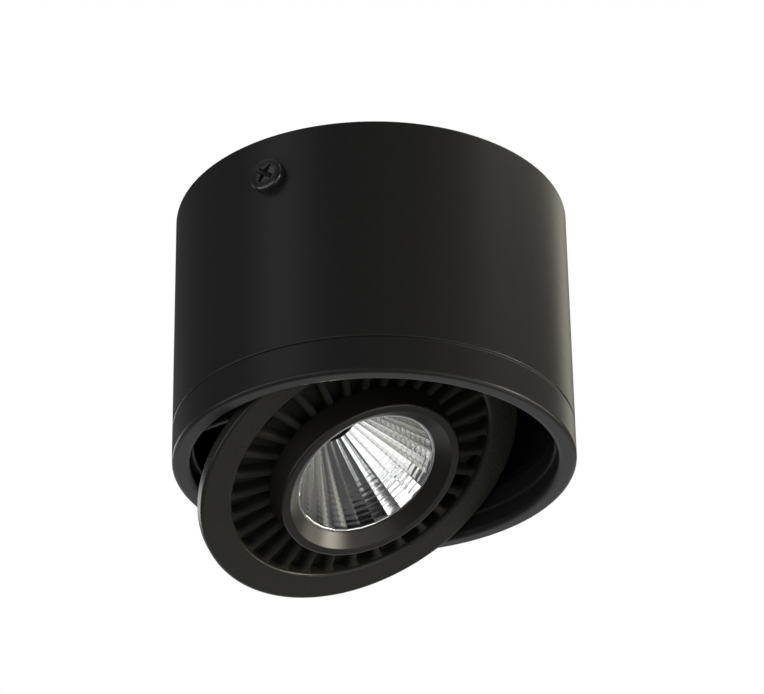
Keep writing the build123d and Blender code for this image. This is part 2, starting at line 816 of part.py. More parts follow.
with BuildPart() as cob_screws:
    with BuildSketch(Plane.XY.offset(holder_front)):
        with Locations((0, cob_screw_circle), (0, -cob_screw_circle)):
            Circle(cob_screw_head_radius)
    extrude(amount=cob_screw_head_height)
    with BuildSketch(Plane.XY.offset(holder_front)):
        with Locations((0, cob_screw_circle), (0, -cob_screw_circle)):
            Circle(cob_screw_radius)
    extrude(amount=floor_front - holder_front + cob_screw_depth)
write_head(cob_screws.part, "cob_screws")

# Leads from the gland's hole along the front of the board
lead_rest_s = board_front - cob_lead_radius
with BuildPart() as cob_leads:
    for lead_y in (cob_lead_spacing / 2, -cob_lead_spacing / 2):
        with BuildLine():
            FilletPolyline(
                (-gland_offset, lead_y, floor_front),
                (-gland_offset, lead_y, lead_rest_s),
                (-holder_bore, lead_y, lead_rest_s),
                radius=2 * cob_lead_radius,
            )
        with BuildSketch(Plane(origin=(-gland_offset, lead_y, floor_front), z_dir=(0, 0, -1))):
            Circle(cob_lead_radius)
        sweep()
write_head(cob_leads.part, "cob_leads")

# Gland in the back of the casting
with BuildPart() as lead_gland:
    with BuildSketch(Plane.XY.offset(sink_back)):
        with Locations((-gland_offset, 0)):
            Circle(gland_radius)
    extrude(amount=gland_height, taper=gland_taper)
    with BuildSketch(Plane.XY.offset(sink_back)):
        with Locations((-gland_offset, 0)):
            Circle(gland_stem_radius)
    extrude(amount=-sink_floor)
write_head(lead_gland.part, "lead_gland")

# Tilt screws with shoulders that slide in the ear slots, and their washers
guide_pins = ((guide_pin_x, guide_pin_s), (-guide_pin_x, guide_pin_s))
shoulder_length = ear_back_y + running_gap + spring_washer_thickness - block_face_y
with BuildPart() as tilt_screws:
    for side in (1, -1):
        flank = flank_plane(side, block_face_y)
        with BuildSketch(flank):
            with Locations(*guide_pins):
                Circle(tilt_thread_radius)
        extrude(amount=-tilt_thread_length)
        with BuildSketch(flank):
            with Locations(*guide_pins):
                Circle(shoulder_radius)
        extrude(amount=shoulder_length)
        with BuildSketch(flank.offset(shoulder_length)):
            with Locations(*guide_pins):
                Circle(tilt_head_radius)
        extrude(amount=tilt_head_height)
        with BuildSketch(flank.offset(shoulder_length + tilt_head_height)):
            with Locations(*guide_pins):
                Rectangle(tilt_head_radius, recess_width)
                Rectangle(recess_width, tilt_head_radius)
        extrude(amount=-recess_depth, mode=Mode.SUBTRACT)
write_head(tilt_screws.part, "tilt_screws")

with BuildPart() as friction_washers:
    for side in (1, -1):
        with BuildSketch(flank_plane(side, block_face_y)):
            with Locations(*guide_pins):
                Circle(washer_radius)
                Circle(shoulder_radius + slip_gap, mode=Mode.SUBTRACT)
        extrude(amount=friction_washer_thickness)
write_head(friction_washers.part, "friction_washers")

with BuildPart() as spring_washers:
    for side in (1, -1):
        with BuildSketch(flank_plane(side, ear_back_y + running_gap)):
            with Locations(*guide_pins):
                Circle(washer_radius)
                Circle(shoulder_radius + slip_gap, mode=Mode.SUBTRACT)
        extrude(amount=spring_washer_thickness)
write_head(spring_washers.part, "spring_washers")

# Lead from the head's gland, over the head's back, up to the driver's gland on the swivel axis
tilt = radians(tilt_rest)
backwards = Vector(-sin(tilt), 0, cos(tilt))
across = Vector(cos(tilt), 0, sin(tilt))
lead_turn = (radians(90) + tilt) / 2
climbing = Vector(cos(lead_turn), 0, sin(lead_turn))
lead_start = Vector(0, 0, pivot_z) - across * gland_offset + backwards * (sink_back + gland_height)
lead_level = gland_tip_z - lead_drop
lead_run = (lead_level - lead_start.Z) / (backwards.Z + climbing.Z)
lead_low = lead_start + backwards * lead_run
lead_high = lead_low + climbing * lead_run
lead_bend = lead_bend_share * lead_run / tan(lead_turn / 2)
lead_route = [lead_start, lead_low, lead_high, (0, 0, lead_level), (0, 0, gland_tip_z)]
with BuildPart() as head_lead:
    with BuildLine():
        FilletPolyline(*lead_route, radius=[lead_bend, lead_bend, lead_drop - lead_end_run])
    with BuildSketch(Plane(origin=lead_start, z_dir=backwards)):
        Circle(lead_radius)
    sweep()
write(head_lead.part, "head_lead")
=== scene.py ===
"""Finished surfaces of a surface-mounted swivel spotlight, built round its packed construction.

Metres, +Z up, with the ceiling face at z = 0 and the housing hanging below it. The head is a finned disc
that tilts about an axis along Y in front of its face. Its pieces are drawn in the head's own frame, with
x across, y sideways and s along its back from the tilt axis, and are then turned to the rest tilt.
"""

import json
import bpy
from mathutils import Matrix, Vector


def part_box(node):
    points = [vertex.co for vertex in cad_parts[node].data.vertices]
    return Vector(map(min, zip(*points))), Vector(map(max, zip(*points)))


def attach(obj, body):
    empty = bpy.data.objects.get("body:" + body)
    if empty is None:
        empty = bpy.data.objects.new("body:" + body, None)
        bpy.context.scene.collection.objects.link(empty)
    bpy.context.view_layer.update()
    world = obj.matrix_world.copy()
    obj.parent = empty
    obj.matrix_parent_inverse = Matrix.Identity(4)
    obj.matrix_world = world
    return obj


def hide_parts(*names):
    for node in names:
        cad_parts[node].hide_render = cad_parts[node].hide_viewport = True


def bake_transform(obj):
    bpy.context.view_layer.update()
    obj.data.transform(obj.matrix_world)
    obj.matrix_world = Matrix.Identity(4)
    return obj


bl_info = {
    "name": "Swivel spotlight",
    "version": (1, 0, 0),
    "blender": (4, 5, 0),
    "location": "View3D > Sidebar > Spotlight",
    "description": "Builds the finished surfaces of a surface-mounted swivel spotlight and its studio",
    "category": "Add Mesh",
}

from collections import namedtuple

import bmesh
import bpy
import numpy as np
from bpy.props import FloatProperty, FloatVectorProperty, IntProperty, PointerProperty
from bpy.types import Operator, Panel, PropertyGroup
from mathutils import Matrix

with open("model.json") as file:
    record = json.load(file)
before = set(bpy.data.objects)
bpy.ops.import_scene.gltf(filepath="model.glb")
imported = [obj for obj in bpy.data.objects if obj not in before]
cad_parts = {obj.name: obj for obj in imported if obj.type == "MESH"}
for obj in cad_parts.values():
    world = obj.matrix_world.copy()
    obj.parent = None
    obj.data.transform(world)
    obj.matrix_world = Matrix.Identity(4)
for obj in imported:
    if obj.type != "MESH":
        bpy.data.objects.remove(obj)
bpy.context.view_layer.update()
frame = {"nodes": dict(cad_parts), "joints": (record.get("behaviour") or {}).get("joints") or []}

MM = 0.001
TURN = 2 * np.pi
UPWARD = np.array([0.0, 0.0, 1.0])

# Meshing: how close two points are one, and the steps and supports of a rounded edge
MERGE = 0.0005 * MM
ARC_STEPS = 5
SUPPORT = 0.15 * MM
FLAT_PARTS = 3
SOFT_ANGLE = np.radians(32)

# The sRGB curve
SRGB_KNEE = 0.04045
SRGB_SLOPE = 12.92
SRGB_OFFSET = 0.055
SRGB_POWER = 2.4

# Sockets of a colour mix, which share their names
MIX_FACTOR = 0
MIX_A = 6
MIX_B = 7
MIX_RESULT = 2

# The head's own frame at rest
TILT_JOINT = next(joint for joint in frame["joints"] if joint["name"] == "head_tilt")
PIVOT = np.array(TILT_JOINT["pos_m"], float)
REST_TILT = -np.radians(TILT_JOINT["range_deg"][0])
ACROSS = np.array([np.cos(REST_TILT), 0, np.sin(REST_TILT)])
SIDEWAYS = np.array([0.0, 1.0, 0.0])
BACKWARDS = np.array([-np.sin(REST_TILT), 0, np.cos(REST_TILT)])
HEAD_AXES = np.stack([ACROSS, SIDEWAYS, BACKWARDS])
HEAD_TURN = (0, -REST_TILT, 0)


def half_width(node):
    """Half of a node's size along Y, which is the radius of a round piece that tilts about Y."""
    low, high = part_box(node)
    return (high.y - low.y) / 2


def linear(code):
    """Linear red, green and blue of an sRGB hex colour: a power curve above a short straight foot."""
    srgb = np.array([int(code[start:start + 2], 16) for start in (1, 3, 5)]) / 255
    curve = ((srgb + SRGB_OFFSET) / (1 + SRGB_OFFSET)) ** SRGB_POWER
    return tuple(np.where(srgb <= SRGB_KNEE, srgb / SRGB_SLOPE, curve))


def length(name, default, description):
    """A length property in metres."""
    return FloatProperty(name=name, description=description, default=default, precision=5, unit="LENGTH")


def angle(name, degrees, description):
    """An angle property given in degrees and kept in radians."""
    return FloatProperty(name=name, description=description, default=np.radians(degrees), subtype="ANGLE")


def colour(name, code, description):
    """A colour property from an sRGB hex code."""
    return FloatVectorProperty(
        name=name, description=description, default=linear(code), subtype="COLOR", min=0, max=1
    )


class HousingSizes(PropertyGroup):
    """Sizes of the tube, the trim ring below it and the two side screws."""

    radius: length("Radius", half_width("housing_shell"), "Outside radius of tube and trim ring")
    inner_radius: length("Inner radius", 44.2 * MM, "Inside radius of the tube")
    top_round: length("Top round", 0.5 * MM, "Rounded edge at the ceiling")
    groove_round: length("Groove round", 0.45 * MM, "Rounded edges in the groove above the trim ring")
    foot_round: length("Foot round", 1.0 * MM, "Rounded lowest edge")
    opening_round: length("Opening round", 1.4 * MM, "Rounded edge of the lower opening")
    ease: length("Ease", 0.1 * MM, "Rounding of the edges inside")
    spigot_radius: length("Spigot radius", 44.1 * MM, "Trim ring's spigot inside the tube")
    seat_radius: length("Seat radius", 42.6 * MM, "Bore in which the swivel ring turns")
    opening_radius: length("Opening radius", 41.6 * MM, "Ledge that carries the swivel ring")
    ledge_height: length("Ledge height", 4.4 * MM, "Height of that ledge above the lowest edge")
    groove_radius: length("Retainer groove", 43.3 * MM, "Depth of the retaining ring's groove")
    groove_low: length("Groove floor", -54.9 * MM, "Lower side of that groove")
    groove_high: length("Groove roof", -53.8 * MM, "Upper side of that groove")
    bush_bore: length("Bush bore", 4.2 * MM, "Hole through the cable bush")
    bush_neck: length("Bush neck", 5.95 * MM, "Part of the bush that fills the plate's hole")
    plate_thickness: length("Plate thickness", 1.5 * MM, "Ceiling plate")
    screw_azimuth: angle("Screw azimuth", -82.9, "Where the first side screw sits; the second is opposite")
    screw_drop: length("Screw drop", 11.1 * MM, "Side screws below the ceiling")
    head_radius: length("Head radius", 4.0 * MM, "Side screw's head")
    head_height: length("Head height", 2.6 * MM, "Height of that head")
    head_skirt: length("Head skirt", 1.15 * MM, "Straight part of the head's side")
    shank_radius: length("Shank radius", 2.0 * MM, "Side screw's shank")
    shank_length: length("Shank length", 7.0 * MM, "Shank inside the housing")
    recess_span: length("Recess span", 4.6 * MM, "Cross recess from tip to tip")
    recess_width: length("Recess width", 1.15 * MM, "Wings of the cross recess at its middle")
    recess_depth: length("Recess depth", 1.4 * MM, "Depth of the cross recess at its middle")
    recess_turn: angle("Recess turn", 53.0, "Turn of the cross about the screw")


class HeadSizes(PropertyGroup):
    """Sizes of the finned casting, the bezel, the bowl and the light source."""

    rim_radius: length("Rim radius", half_width("heat_sink"), "Outside of the head's rim")
    rim_inner: length("Rim inside", 32.05 * MM, "Inside of the rim, where the fins end")
    rim_front: length("Rim front", 6.7 * MM, "Front of the rim behind the tilt axis")
    rim_back: length("Rim back", 9.7 * MM, "Back of the rim")
    front_round: length("Front round", 0.7 * MM, "Rounding of the rim's outer front edge")
    inner_round: length("Inner round", 0.9 * MM, "Rounding of the rim's inner front edge")
    back_round: length("Back round", 0.8 * MM, "Rounding of the rim's back edge")
    skirt_radius: length("Skirt radius", 33.95 * MM, "Outside of the skirt behind the rim")
    skirt_back: length("Skirt back", 13.0 * MM, "Back edge of the skirt")
    hub_bore: length("Hub bore", 18.7 * MM, "Cup that holds the bezel and the bowl")
    hub_radius: length("Hub radius", 20.5 * MM, "Outside of the cup")
    hub_front: length("Hub front", 7.5 * MM, "Front of the cup")
    floor_front: length("Floor front", 27.0 * MM, "Floor of the cup, under the light source")
    sink_back: length("Sink back", 29.4 * MM, "Flat back of the casting")
    sink_radius: length("Sink radius", 25.0 * MM, "Outside of the fins at the back")
    shoulder_back: length("Shoulder", 20.5 * MM, "Where the fins step in to their back part")
    ear_room: length("Ear room", 28.2 * MM, "Half width of the casting behind its rim, between the ears")
    fin_count: IntProperty(name="Fins", description="Fins all round", default=32, min=8, max=64)
    fin_thickness: length("Fin thickness", 1.9 * MM, "Thickness of a fin at its front edge")
    fin_front: length("Fin front", 7.5 * MM, "Front edges of the fins")
    fin_round: length("Fin round", 0.85 * MM, "Rounding of a fin's front edges")
    fin_fillet: length("Fin fillet", 1.1 * MM, "Fillet where a fin meets hub and rim")
    fin_draft: FloatProperty(name="Fin draft", description="Thickening with depth", default=0.012)
    web_front: length("Web front", 10.5 * MM, "Front of the web that closes the gaps between the fins")
    web_back: length("Web back", 12.0 * MM, "Back of that web")
    block_width: length("Block width", 16.0 * MM, "Blocks that the tilt screws enter")
    block_height: length("Block height", 8.0 * MM, "Height of those blocks along the head's back")
    block_centre: length("Block centre", 23.7 * MM, "Middle of those blocks along the head's back")
    block_face: length("Block face", 27.7 * MM, "Outer faces of those blocks")
    block_edge: length("Block edge", 0.5 * MM, "Rounding of those blocks")
    mouth_radius: length("Mouth radius", 22.1 * MM, "Outside of the bezel's lip")
    mouth_front: length("Mouth front", 1.6 * MM, "Face of the bezel's lip")
    lip_width: length("Lip width", 2.0 * MM, "Flat of the bezel's lip")
    lip_round: length("Lip round", 0.5 * MM, "Rounding of the lip's outer edge")
    flare_radius: length("Flare radius", half_width("bezel_ring"), "Bezel's foot on the casting")
    cone_radius: length("Cone radius", 16.9 * MM, "Small end of the bezel's cone")
    spigot_radius: length("Spigot radius", 18.6 * MM, "Bezel's spigot in the cup")
    spigot_bore: length("Spigot bore", 17.6 * MM, "Bore of that spigot, round the bowl's flange")
    spigot_back: length("Spigot back", 11.5 * MM, "End of that spigot")
    bowl_radius: length("Bowl radius", 16.6 * MM, "Mouth of the bowl")
    bowl_front: length("Bowl front", 4.3 * MM, "Mouth of the bowl behind the tilt axis")
    bowl_back: length("Bowl back", 23.6 * MM, "Throat of the bowl")
    throat_radius: length("Throat radius", 6.3 * MM, "Hole for the light source")
    bowl_fullness: length("Bowl fullness", 0.2 * MM, "Bulge of the bowl's wall beyond a straight cone")
    bowl_wall: length("Bowl wall", 0.8 * MM, "Thickness of the bowl")
    flange_radius: length("Flange radius", half_width("reflector"), "Bowl's flange behind the bezel")
    flange_depth: length("Flange depth", 0.8 * MM, "Thickness of that flange")
    bowl_edge: length("Bowl edge", 0.25 * MM, "Rounding of the bowl's mouth")
    strips: IntProperty(name="Strips", description="Strips round the bowl", default=30, min=12, max=72)
    strip_turn: angle("Strip turn", 4.0, "Edge of the first strip round the head")
    rows: IntProperty(name="Rows", description="Facets along each strip", default=15, min=3, max=24)
    strip_crown: length("Strip crown", 0.05 * MM, "Bulge across each strip")
    facet_crown: length("Facet crown", 0.03 * MM, "Bulge along each facet")
    emitter_radius: length("Emitter radius", half_width("cob_emitter"), "Light source with its dam")
    emitter_front: length("Emitter front", 24.8 * MM, "Face of the light source")
    emitter_back: length("Emitter back", 25.4 * MM, "Board under the light source")
    dam_width: length("Dam width", 0.55 * MM, "Raised dam round the phosphor")
    lead_radius: length("Lead radius", 1.2 * MM, "Lead from the driver to the head")
    gland_offset: length("Gland offset", 14.0 * MM, "Lead's gland from the head's middle")
    gland_height: length("Gland height", 3.0 * MM, "Gland behind the casting")
    lead_drop: length("Lead drop", 8.5 * MM, "Lead below the driver's gland before it turns")


class Colours(PropertyGroup):
    """Colours of the finishes."""

    powder_coat: colour("Powder coat", "#1f1f1f", "Satin black of the housing")
    casting: colour("Casting paint", "#20201c", "Satin black of the casting")
    bezel: colour("Bezel", "#191816", "Smooth black of the bezel")
    black_steel: colour("Black steel", "#1c1c1d", "Oxidised steel screws and rings")
    zinc: colour("Zinc", "#c6c9cc", "Bright zinc plate")
    mirror: colour("Mirror", "#eceded", "Bright aluminium of the bowl")
    board: colour("Board", "#dcdcd6", "Lacquered aluminium board")
    # The phosphor's yellow is darkened to a dull olive: painted shade for the deep shade in the bowl's
    # throat
    phosphor: colour("Phosphor", "#5c5127", "Unlit phosphor gel")
    white_plastic: colour("White plastic", "#dddcd8", "Driver and terminal block")
    # The holder is near black as painted shade, for the shade deep in the bowl's throat
    black_plastic_as_painted_shade: colour("Black plastic", "#242423", "Holder of the light source")
    silicone: colour("Silicone", "#73787f", "Thermal pad")
    rubber: colour("Rubber", "#141415", "Bush and glands")
    solder_mask: colour("Solder mask", "#1f5a33", "Driver's circuit board")
    coil_tape: colour("Coil tape", "#d8b63c", "Tape round the transformer")
    sleeve: colour("Sleeve", "#14171f", "Shrunk sleeves of the capacitors")
    brass: colour("Brass", "#c79a50", "Terminal and earth screws")
    nylon: colour("Nylon", "#dad7cb", "Friction washers")
    sheath: colour("Sheath", "#b1b1b0", "Soft grey sheath of the leads")


class StageSizes(PropertyGroup):
    """Camera, floor, surroundings and their light."""

    camera_turn: angle("Camera turn", 36.3, "Camera round the lamp from straight in front")
    camera_rise: angle("Camera rise", 29.02, "How steeply the camera looks up")
    camera_roll: angle("Camera roll", -0.9, "Camera's roll")
    camera_distance: length("Camera distance", 764.4 * MM, "Camera from its aim")
    aim_right: length("Aim right", 2.14 * MM, "Aim beside the housing's axis")
    aim_height: length("Aim height", -32.66 * MM, "Aim below the ceiling")
    lens: FloatProperty(name="Lens", description="Focal length in mm on a 36 mm sensor", default=155.4)
    floor_height: length("Floor height", -0.95, "Pale floor below the lamp and the camera")
    floor_size: length("Floor size", 14.0, "Width of the floor")
    floor_lift: FloatProperty(name="Floor lift", description="Light that keeps it pale", default=0.25)
    ambient: FloatProperty(name="Ambient", description="Level of the even light", default=0.33)
    studio_dark: FloatProperty(name="Dark studio", description="Studio up to eye level", default=0.09)
    studio_upper: FloatProperty(name="Upper studio", description="Studio overhead", default=0.25)
    upper_start: angle("Upper start", 38, "Where the studio starts to lighten above the horizon")
    upper_end: angle("Upper end", 65, "Where it is as light as overhead")
    table_light: FloatProperty(name="Light table", description="Table behind the lamp", default=0.7)
    table_azimuth: angle("Table azimuth", 90, "Middle of that table, seen from the lamp")
    table_fall: angle("Table fall", -22, "Middle of that table below the horizon")
    table_inner: angle("Table inner", 20, "Table at full level within this angle")
    table_outer: angle("Table outer", 50, "Table faded out beyond this angle")


def rounded(points, radii, closed=True):
    """An outline with rounded corners.

    At a corner, an arc of radius r touches both sides r over the tangent of the half angle away from it.
    The arc turns the first touching radius into the second by weighted sines. A point beside each of its
    ends keeps the flat there flat, a support's length away or a third of the flat, whichever is less.
    """
    corners = np.asarray(points, float)
    radius = np.broadcast_to(np.asarray(radii, float), len(corners))[:, None]
    to_last = np.roll(corners, 1, axis=0) - corners
    to_next = np.roll(corners, -1, axis=0) - corners
    last_length = np.linalg.norm(to_last, axis=1, keepdims=True)
    next_length = np.linalg.norm(to_next, axis=1, keepdims=True)
    to_last /= last_length
    to_next /= next_length
    half = np.arccos(np.clip((to_last * to_next).sum(1, keepdims=True), -1, 1)) / 2
    reach = radius / np.tan(half)
    bisector = to_last + to_next
    centre = corners + bisector / np.linalg.norm(bisector, axis=1, keepdims=True) * radius / np.sin(half)
    first = corners + to_last * reach - centre
    last = corners + to_next * reach - centre
    sweep = np.pi - 2 * half[:, None]
    share = np.linspace(0, 1, ARC_STEPS + 1)[None, :, None]
    leaving = np.sin((1 - share) * sweep) * first[:, None]
    reaching = np.sin(share * sweep) * last[:, None]
    arcs = (leaving + reaching) / np.sin(sweep)
    spare_last = (last_length - reach - np.roll(reach, 1, axis=0)) / FLAT_PARTS
    spare_next = (next_length - reach - np.roll(reach, -1, axis=0)) / FLAT_PARTS
    before = corners + to_last * (reach + np.minimum(SUPPORT, spare_last))
    after = corners + to_next * (reach + np.minimum(SUPPORT, spare_next))
    outline = np.concatenate([before[:, None], centre[:, None] + arcs, after[:, None]], axis=1)
    if closed:
        return np.concatenate([outline.reshape(-1, 2), outline[0, :1]])
    return np.concatenate([corners[:1], outline[1:-1].reshape(-1, 2), corners[-1:]])


def around(radius, turns, level):
    """Points round an axis: a radius r, a turn a and a level s give (r cos a, r sin a, s)."""
    return np.stack(np.broadcast_arrays(radius * np.cos(turns), radius * np.sin(turns), level), axis=-1)


def lathe(profile, columns, start=0.0, end=TURN):
    """A turned surface: each point (r, s) of the profile is carried round the axis from start to end."""
    return around(profile[:, :1], np.linspace(start, end, columns + 1), profile[:, 1:])


def capped(grid):
    """The same grid with its first and last rows closed to their middles."""
    first = np.broadcast_to(grid[:1].mean(1, keepdims=True), grid[:1].shape)
    last = np.broadcast_to(grid[-1:].mean(1, keepdims=True), grid[-1:].shape)
    return np.concatenate([first, grid, last])


def in_head(grid):
    """Points of the head at its rest tilt: the tilt axis plus x across, y sideways and s backwards."""
    return PIVOT + grid @ HEAD_AXES


def quads(rows, columns, first):
    """Corner numbers of the quads of a grid whose points are counted row by row from first."""
    corner = (np.arange(rows - 1)[:, None] * columns + np.arange(columns - 1)[None, :]).ravel() + first
    return np.stack([corner, corner + 1, corner + columns + 1, corner + columns], axis=1)


def piece(name, grids, soft_angle=SOFT_ANGLE):
    """A mesh of one or more grids.

    Seams and poles are merged, faces are turned outwards and only hard edges are left sharp.
    """
    starts = np.cumsum([0] + [grid.shape[0] * grid.shape[1] for grid in grids])
    faces = [quads(grid.shape[0], grid.shape[1], first) for grid, first in zip(grids, starts)]
    points = np.concatenate([grid.reshape(-1, 3) for grid in grids])
    mesh = bpy.data.meshes.new(name)
    mesh.from_pydata(points.tolist(), [], np.concatenate(faces).tolist())
    shape = bmesh.new()
    shape.from_mesh(mesh)
    bmesh.ops.remove_doubles(shape, verts=shape.verts, dist=MERGE)
    bmesh.ops.dissolve_degenerate(shape, edges=shape.edges, dist=MERGE)
    bmesh.ops.recalc_face_normals(shape, faces=shape.faces)
    shape.to_mesh(mesh)
    shape.free()
    mesh.shade_smooth()
    mesh.set_sharp_from_angle(angle=soft_angle)
    made = bpy.data.objects.new(name, mesh)
    bpy.context.scene.collection.objects.link(made)
    return made


def fit(made, body, slot, material, *nodes):
    """Gives a piece its material, lets it ride on a body and stand for construction nodes. The slot is not
    used.
    """
    made.data.materials.clear()
    made.data.materials.append(material)
    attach(made, body)
    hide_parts(*nodes)


def paint_nodes(material, *nodes):
    """Gives construction nodes that stay in view a material."""
    for node in nodes:
        mesh = frame["nodes"][node].data
        mesh.materials.clear()
        mesh.materials.append(material)


def add_node(tree, kind, inputs=None, **settings):
    """Adds one shader node. An input given a socket is linked to it, and any other is set to the value."""
    made = tree.nodes.new(kind)
    for name, value in settings.items():
        setattr(made, name, value)
    for key, value in (inputs or {}).items():
        if isinstance(value, bpy.types.NodeSocket):
            tree.links.new(value, made.inputs[key])
        else:
            made.inputs[key].default_value = value
    return made


def finish(
    name,
    base,
    roughness,
    cell,
    depth,
    spread=0.06,
    shade=0.25,
    metallic=0.0,
    specular=0.5,
    kind="Noise",
    output="Fac",
    **settings,
):
    """A finish with a grain.

    A texture shades the colour, varies the roughness and raises a bump of a real depth. Its cells have a
    real size, in which a wave repeats about three times. It is noise unless another kind is given with its
    settings, and it runs on object coordinates turned to the head.
    """
    made = bpy.data.materials.new(name)
    made.use_nodes = True
    tree = made.node_tree
    tree.nodes.clear()
    place = add_node(tree, "ShaderNodeTexCoord").outputs["Object"]
    to_head = {"Vector": place, "Location": PIVOT, "Rotation": HEAD_TURN}
    turned = add_node(tree, "ShaderNodeMapping", to_head, vector_type="TEXTURE").outputs[0]
    cells = {"Vector": turned, "Scale": 1 / cell}
    grain = add_node(tree, "ShaderNodeTex" + kind, cells, **settings).outputs[output]
    darker = [channel * (1 - shade) for channel in base]
    tones = {MIX_FACTOR: grain, MIX_A: (*darker, 1), MIX_B: (*base, 1)}
    tone = add_node(tree, "ShaderNodeMix", tones, data_type="RGBA")
    levels = {"Value": grain, "To Min": roughness - spread, "To Max": roughness + spread}
    gloss = add_node(tree, "ShaderNodeMapRange", levels)
    relief = add_node(tree, "ShaderNodeBump", {"Height": grain, "Distance": depth})
    surface = {
        "Base Color": tone.outputs[MIX_RESULT],
        "Roughness": gloss.outputs[0],
        "Metallic": metallic,
        "Specular IOR Level": specular,
        "Normal": relief.outputs[0],
    }
    shader = add_node(tree, "ShaderNodeBsdfPrincipled", surface)
    add_node(tree, "ShaderNodeOutputMaterial", {"Surface": shader.outputs[0]})
    return made


# The skin of a die casting, and the fine matt pits that a spark-eroded mould leaves, both drawn a little
# coarser than they are so that they show
CASTING_SKIN = {"cell": 0.5 * MM, "depth": 0.0012 * MM, "shade": 0.12}
SPARK_PITS = {"cell": 0.35 * MM, "depth": 0.008 * MM, "shade": 0.06}


def powder_coat(colours):
    """Satin black polyester powder, sprayed and baked: a faint orange peel about a millimetre across."""
    peel = {"cell": 0.9 * MM, "depth": 0.003 * MM}
    return finish("satin_powder_coat", colours.powder_coat, roughness=0.34, specular=0.19, **peel)


def casting_paint(colours):
    """Satin black wet paint on die-cast aluminium: the casting's fine skin shows through it."""
    return finish(
        "satin_paint_on_die_casting", colours.casting, roughness=0.28, specular=0.2, **CASTING_SKIN
    )


def dry_spray(colours):
    """The same paint among the fins, where the spray lands nearly dry: dull, with hardly any sheen."""
    return finish(
        "dry_sprayed_paint_on_die_casting", colours.casting, roughness=0.6, specular=0.04, **CASTING_SKIN
    )


def bezel_anodising(colours):
    """Turned aluminium, anodised black: fine tool rings round the head's axis."""
    rings = {"kind": "Wave", "wave_type": "RINGS", "rings_direction": "Z", "cell": 0.25 * MM}
    return finish(
        "black_anodised_turned_aluminium",
        colours.bezel,
        roughness=0.3,
        depth=0.0002 * MM,
        spread=0.01,
        shade=0.03,
        specular=0.3,
        **rings,
    )


def oxidised_steel(colours):
    """Steel blackened in a hot oxide bath and oiled: dark, with a soft sheen."""
    return finish("black_oxide_steel", colours.black_steel, roughness=0.25, cell=0.4 * MM, depth=0.002 * MM)


def zinc_plate(colours):
    """Pressed steel with bright zinc plate: pale metal with faint spangle cells."""
    spangle = {"kind": "Voronoi", "output": "Distance", "cell": 2.5 * MM, "depth": 0.001 * MM}
    return finish("bright_zinc_plate", colours.zinc, roughness=0.36, metallic=1.0, shade=0.15, **spangle)


def mirror_aluminium(colours):
    """Aluminium evaporated on a moulded bowl: a bright mirror with a slight haze."""
    haze = {"cell": 0.6 * MM, "depth": 0.00002 * MM, "spread": 0.02, "shade": 0.04}
    return finish("vacuum_metallised_mirror", colours.mirror, roughness=0.14, metallic=1.0, **haze)


def lacquered_board(colours):
    """White lacquer on an aluminium circuit board: an even, half-glossy skin."""
    skin = {"cell": 0.8 * MM, "depth": 0.002 * MM, "shade": 0.06}
    return finish("lacquered_aluminium_board", colours.board, roughness=0.35, **skin)


def phosphor_gel_in_painted_shade(colours):
    """Phosphor powder in cast silicone gel: an even tone with fine grains, its yellow darkened to a dull
    olive as painted shade.
    """
    grains = {"cell": 0.25 * MM, "depth": 0.004 * MM, "shade": 0.12}
    return finish("phosphor_in_silicone_gel", colours.phosphor, roughness=0.3, **grains)


def moulded_plastic(colours):
    """White flame-proof plastic from a spark-eroded mould: fine matt texture."""
    return finish("spark_textured_plastic", colours.white_plastic, roughness=0.5, **SPARK_PITS)


def black_plastic_as_painted_shade(colours):
    """Black heat-proof plastic from a spark-eroded mould, like the driver's: its black is painted shade for
    the bowl's throat.
    """
    return finish("black_spark_textured_plastic", colours.black_plastic_as_painted_shade, roughness=0.5, **SPARK_PITS)


def thermal_silicone(colours):
    """Soft filled silicone sheet that carries heat from the board: grey and dull."""
    return finish("filled_silicone_sheet", colours.silicone, roughness=0.7, cell=0.4 * MM, depth=0.01 * MM)


def moulded_rubber(colours):
    """Black moulded rubber, dull and slightly bloomed."""
    bloom = {"cell": 0.6 * MM, "depth": 0.008 * MM}
    return finish("moulded_rubber", colours.rubber, roughness=0.62, specular=0.3, **bloom)


def circuit_board(colours):
    """Green solder mask over copper tracks: the tracks show as paler cells."""
    tracks = {"kind": "Voronoi", "output": "Distance", "distance": "MANHATTAN", "cell": 3.0 * MM}
    return finish(
        "green_solder_mask", colours.solder_mask, roughness=0.3, depth=0.02 * MM, shade=0.45, **tracks
    )


def polyester_tape(colours):
    """Yellow polyester tape wound round the coil: the laps show as bands."""
    laps = {"kind": "Wave", "bands_direction": "Z", "cell": 6.0 * MM, "depth": 0.02 * MM, "shade": 0.2}
    return finish("polyester_coil_tape", colours.coil_tape, roughness=0.28, **laps)


def shrunk_sleeve(colours):
    """Dark PVC sleeve shrunk on the capacitors: smooth and glossy."""
    return finish("shrunk_pvc_sleeve", colours.sleeve, roughness=0.22, cell=1.5 * MM, depth=0.01 * MM)


def turned_brass(colours):
    """Brass turned from bar, with fine tool marks."""
    marks = {"kind": "Wave", "bands_direction": "Z", "cell": 0.5 * MM, "depth": 0.001 * MM, "shade": 0.12}
    return finish("turned_brass", colours.brass, roughness=0.28, metallic=1.0, **marks)


def natural_nylon(colours):
    """Natural nylon sheet punched into washers: milky, with a faint grain."""
    return finish(
        "natural_nylon", colours.nylon, roughness=0.45, cell=0.8 * MM, depth=0.004 * MM, shade=0.08
    )


def lead_sheath(colours):
    """Soft grey silicone sheath of the leads, slightly dusty."""
    dust = {"cell": 1.2 * MM, "depth": 0.01 * MM, "shade": 0.15}
    return finish("silicone_lead_sheath", colours.sheath, roughness=0.55, **dust)


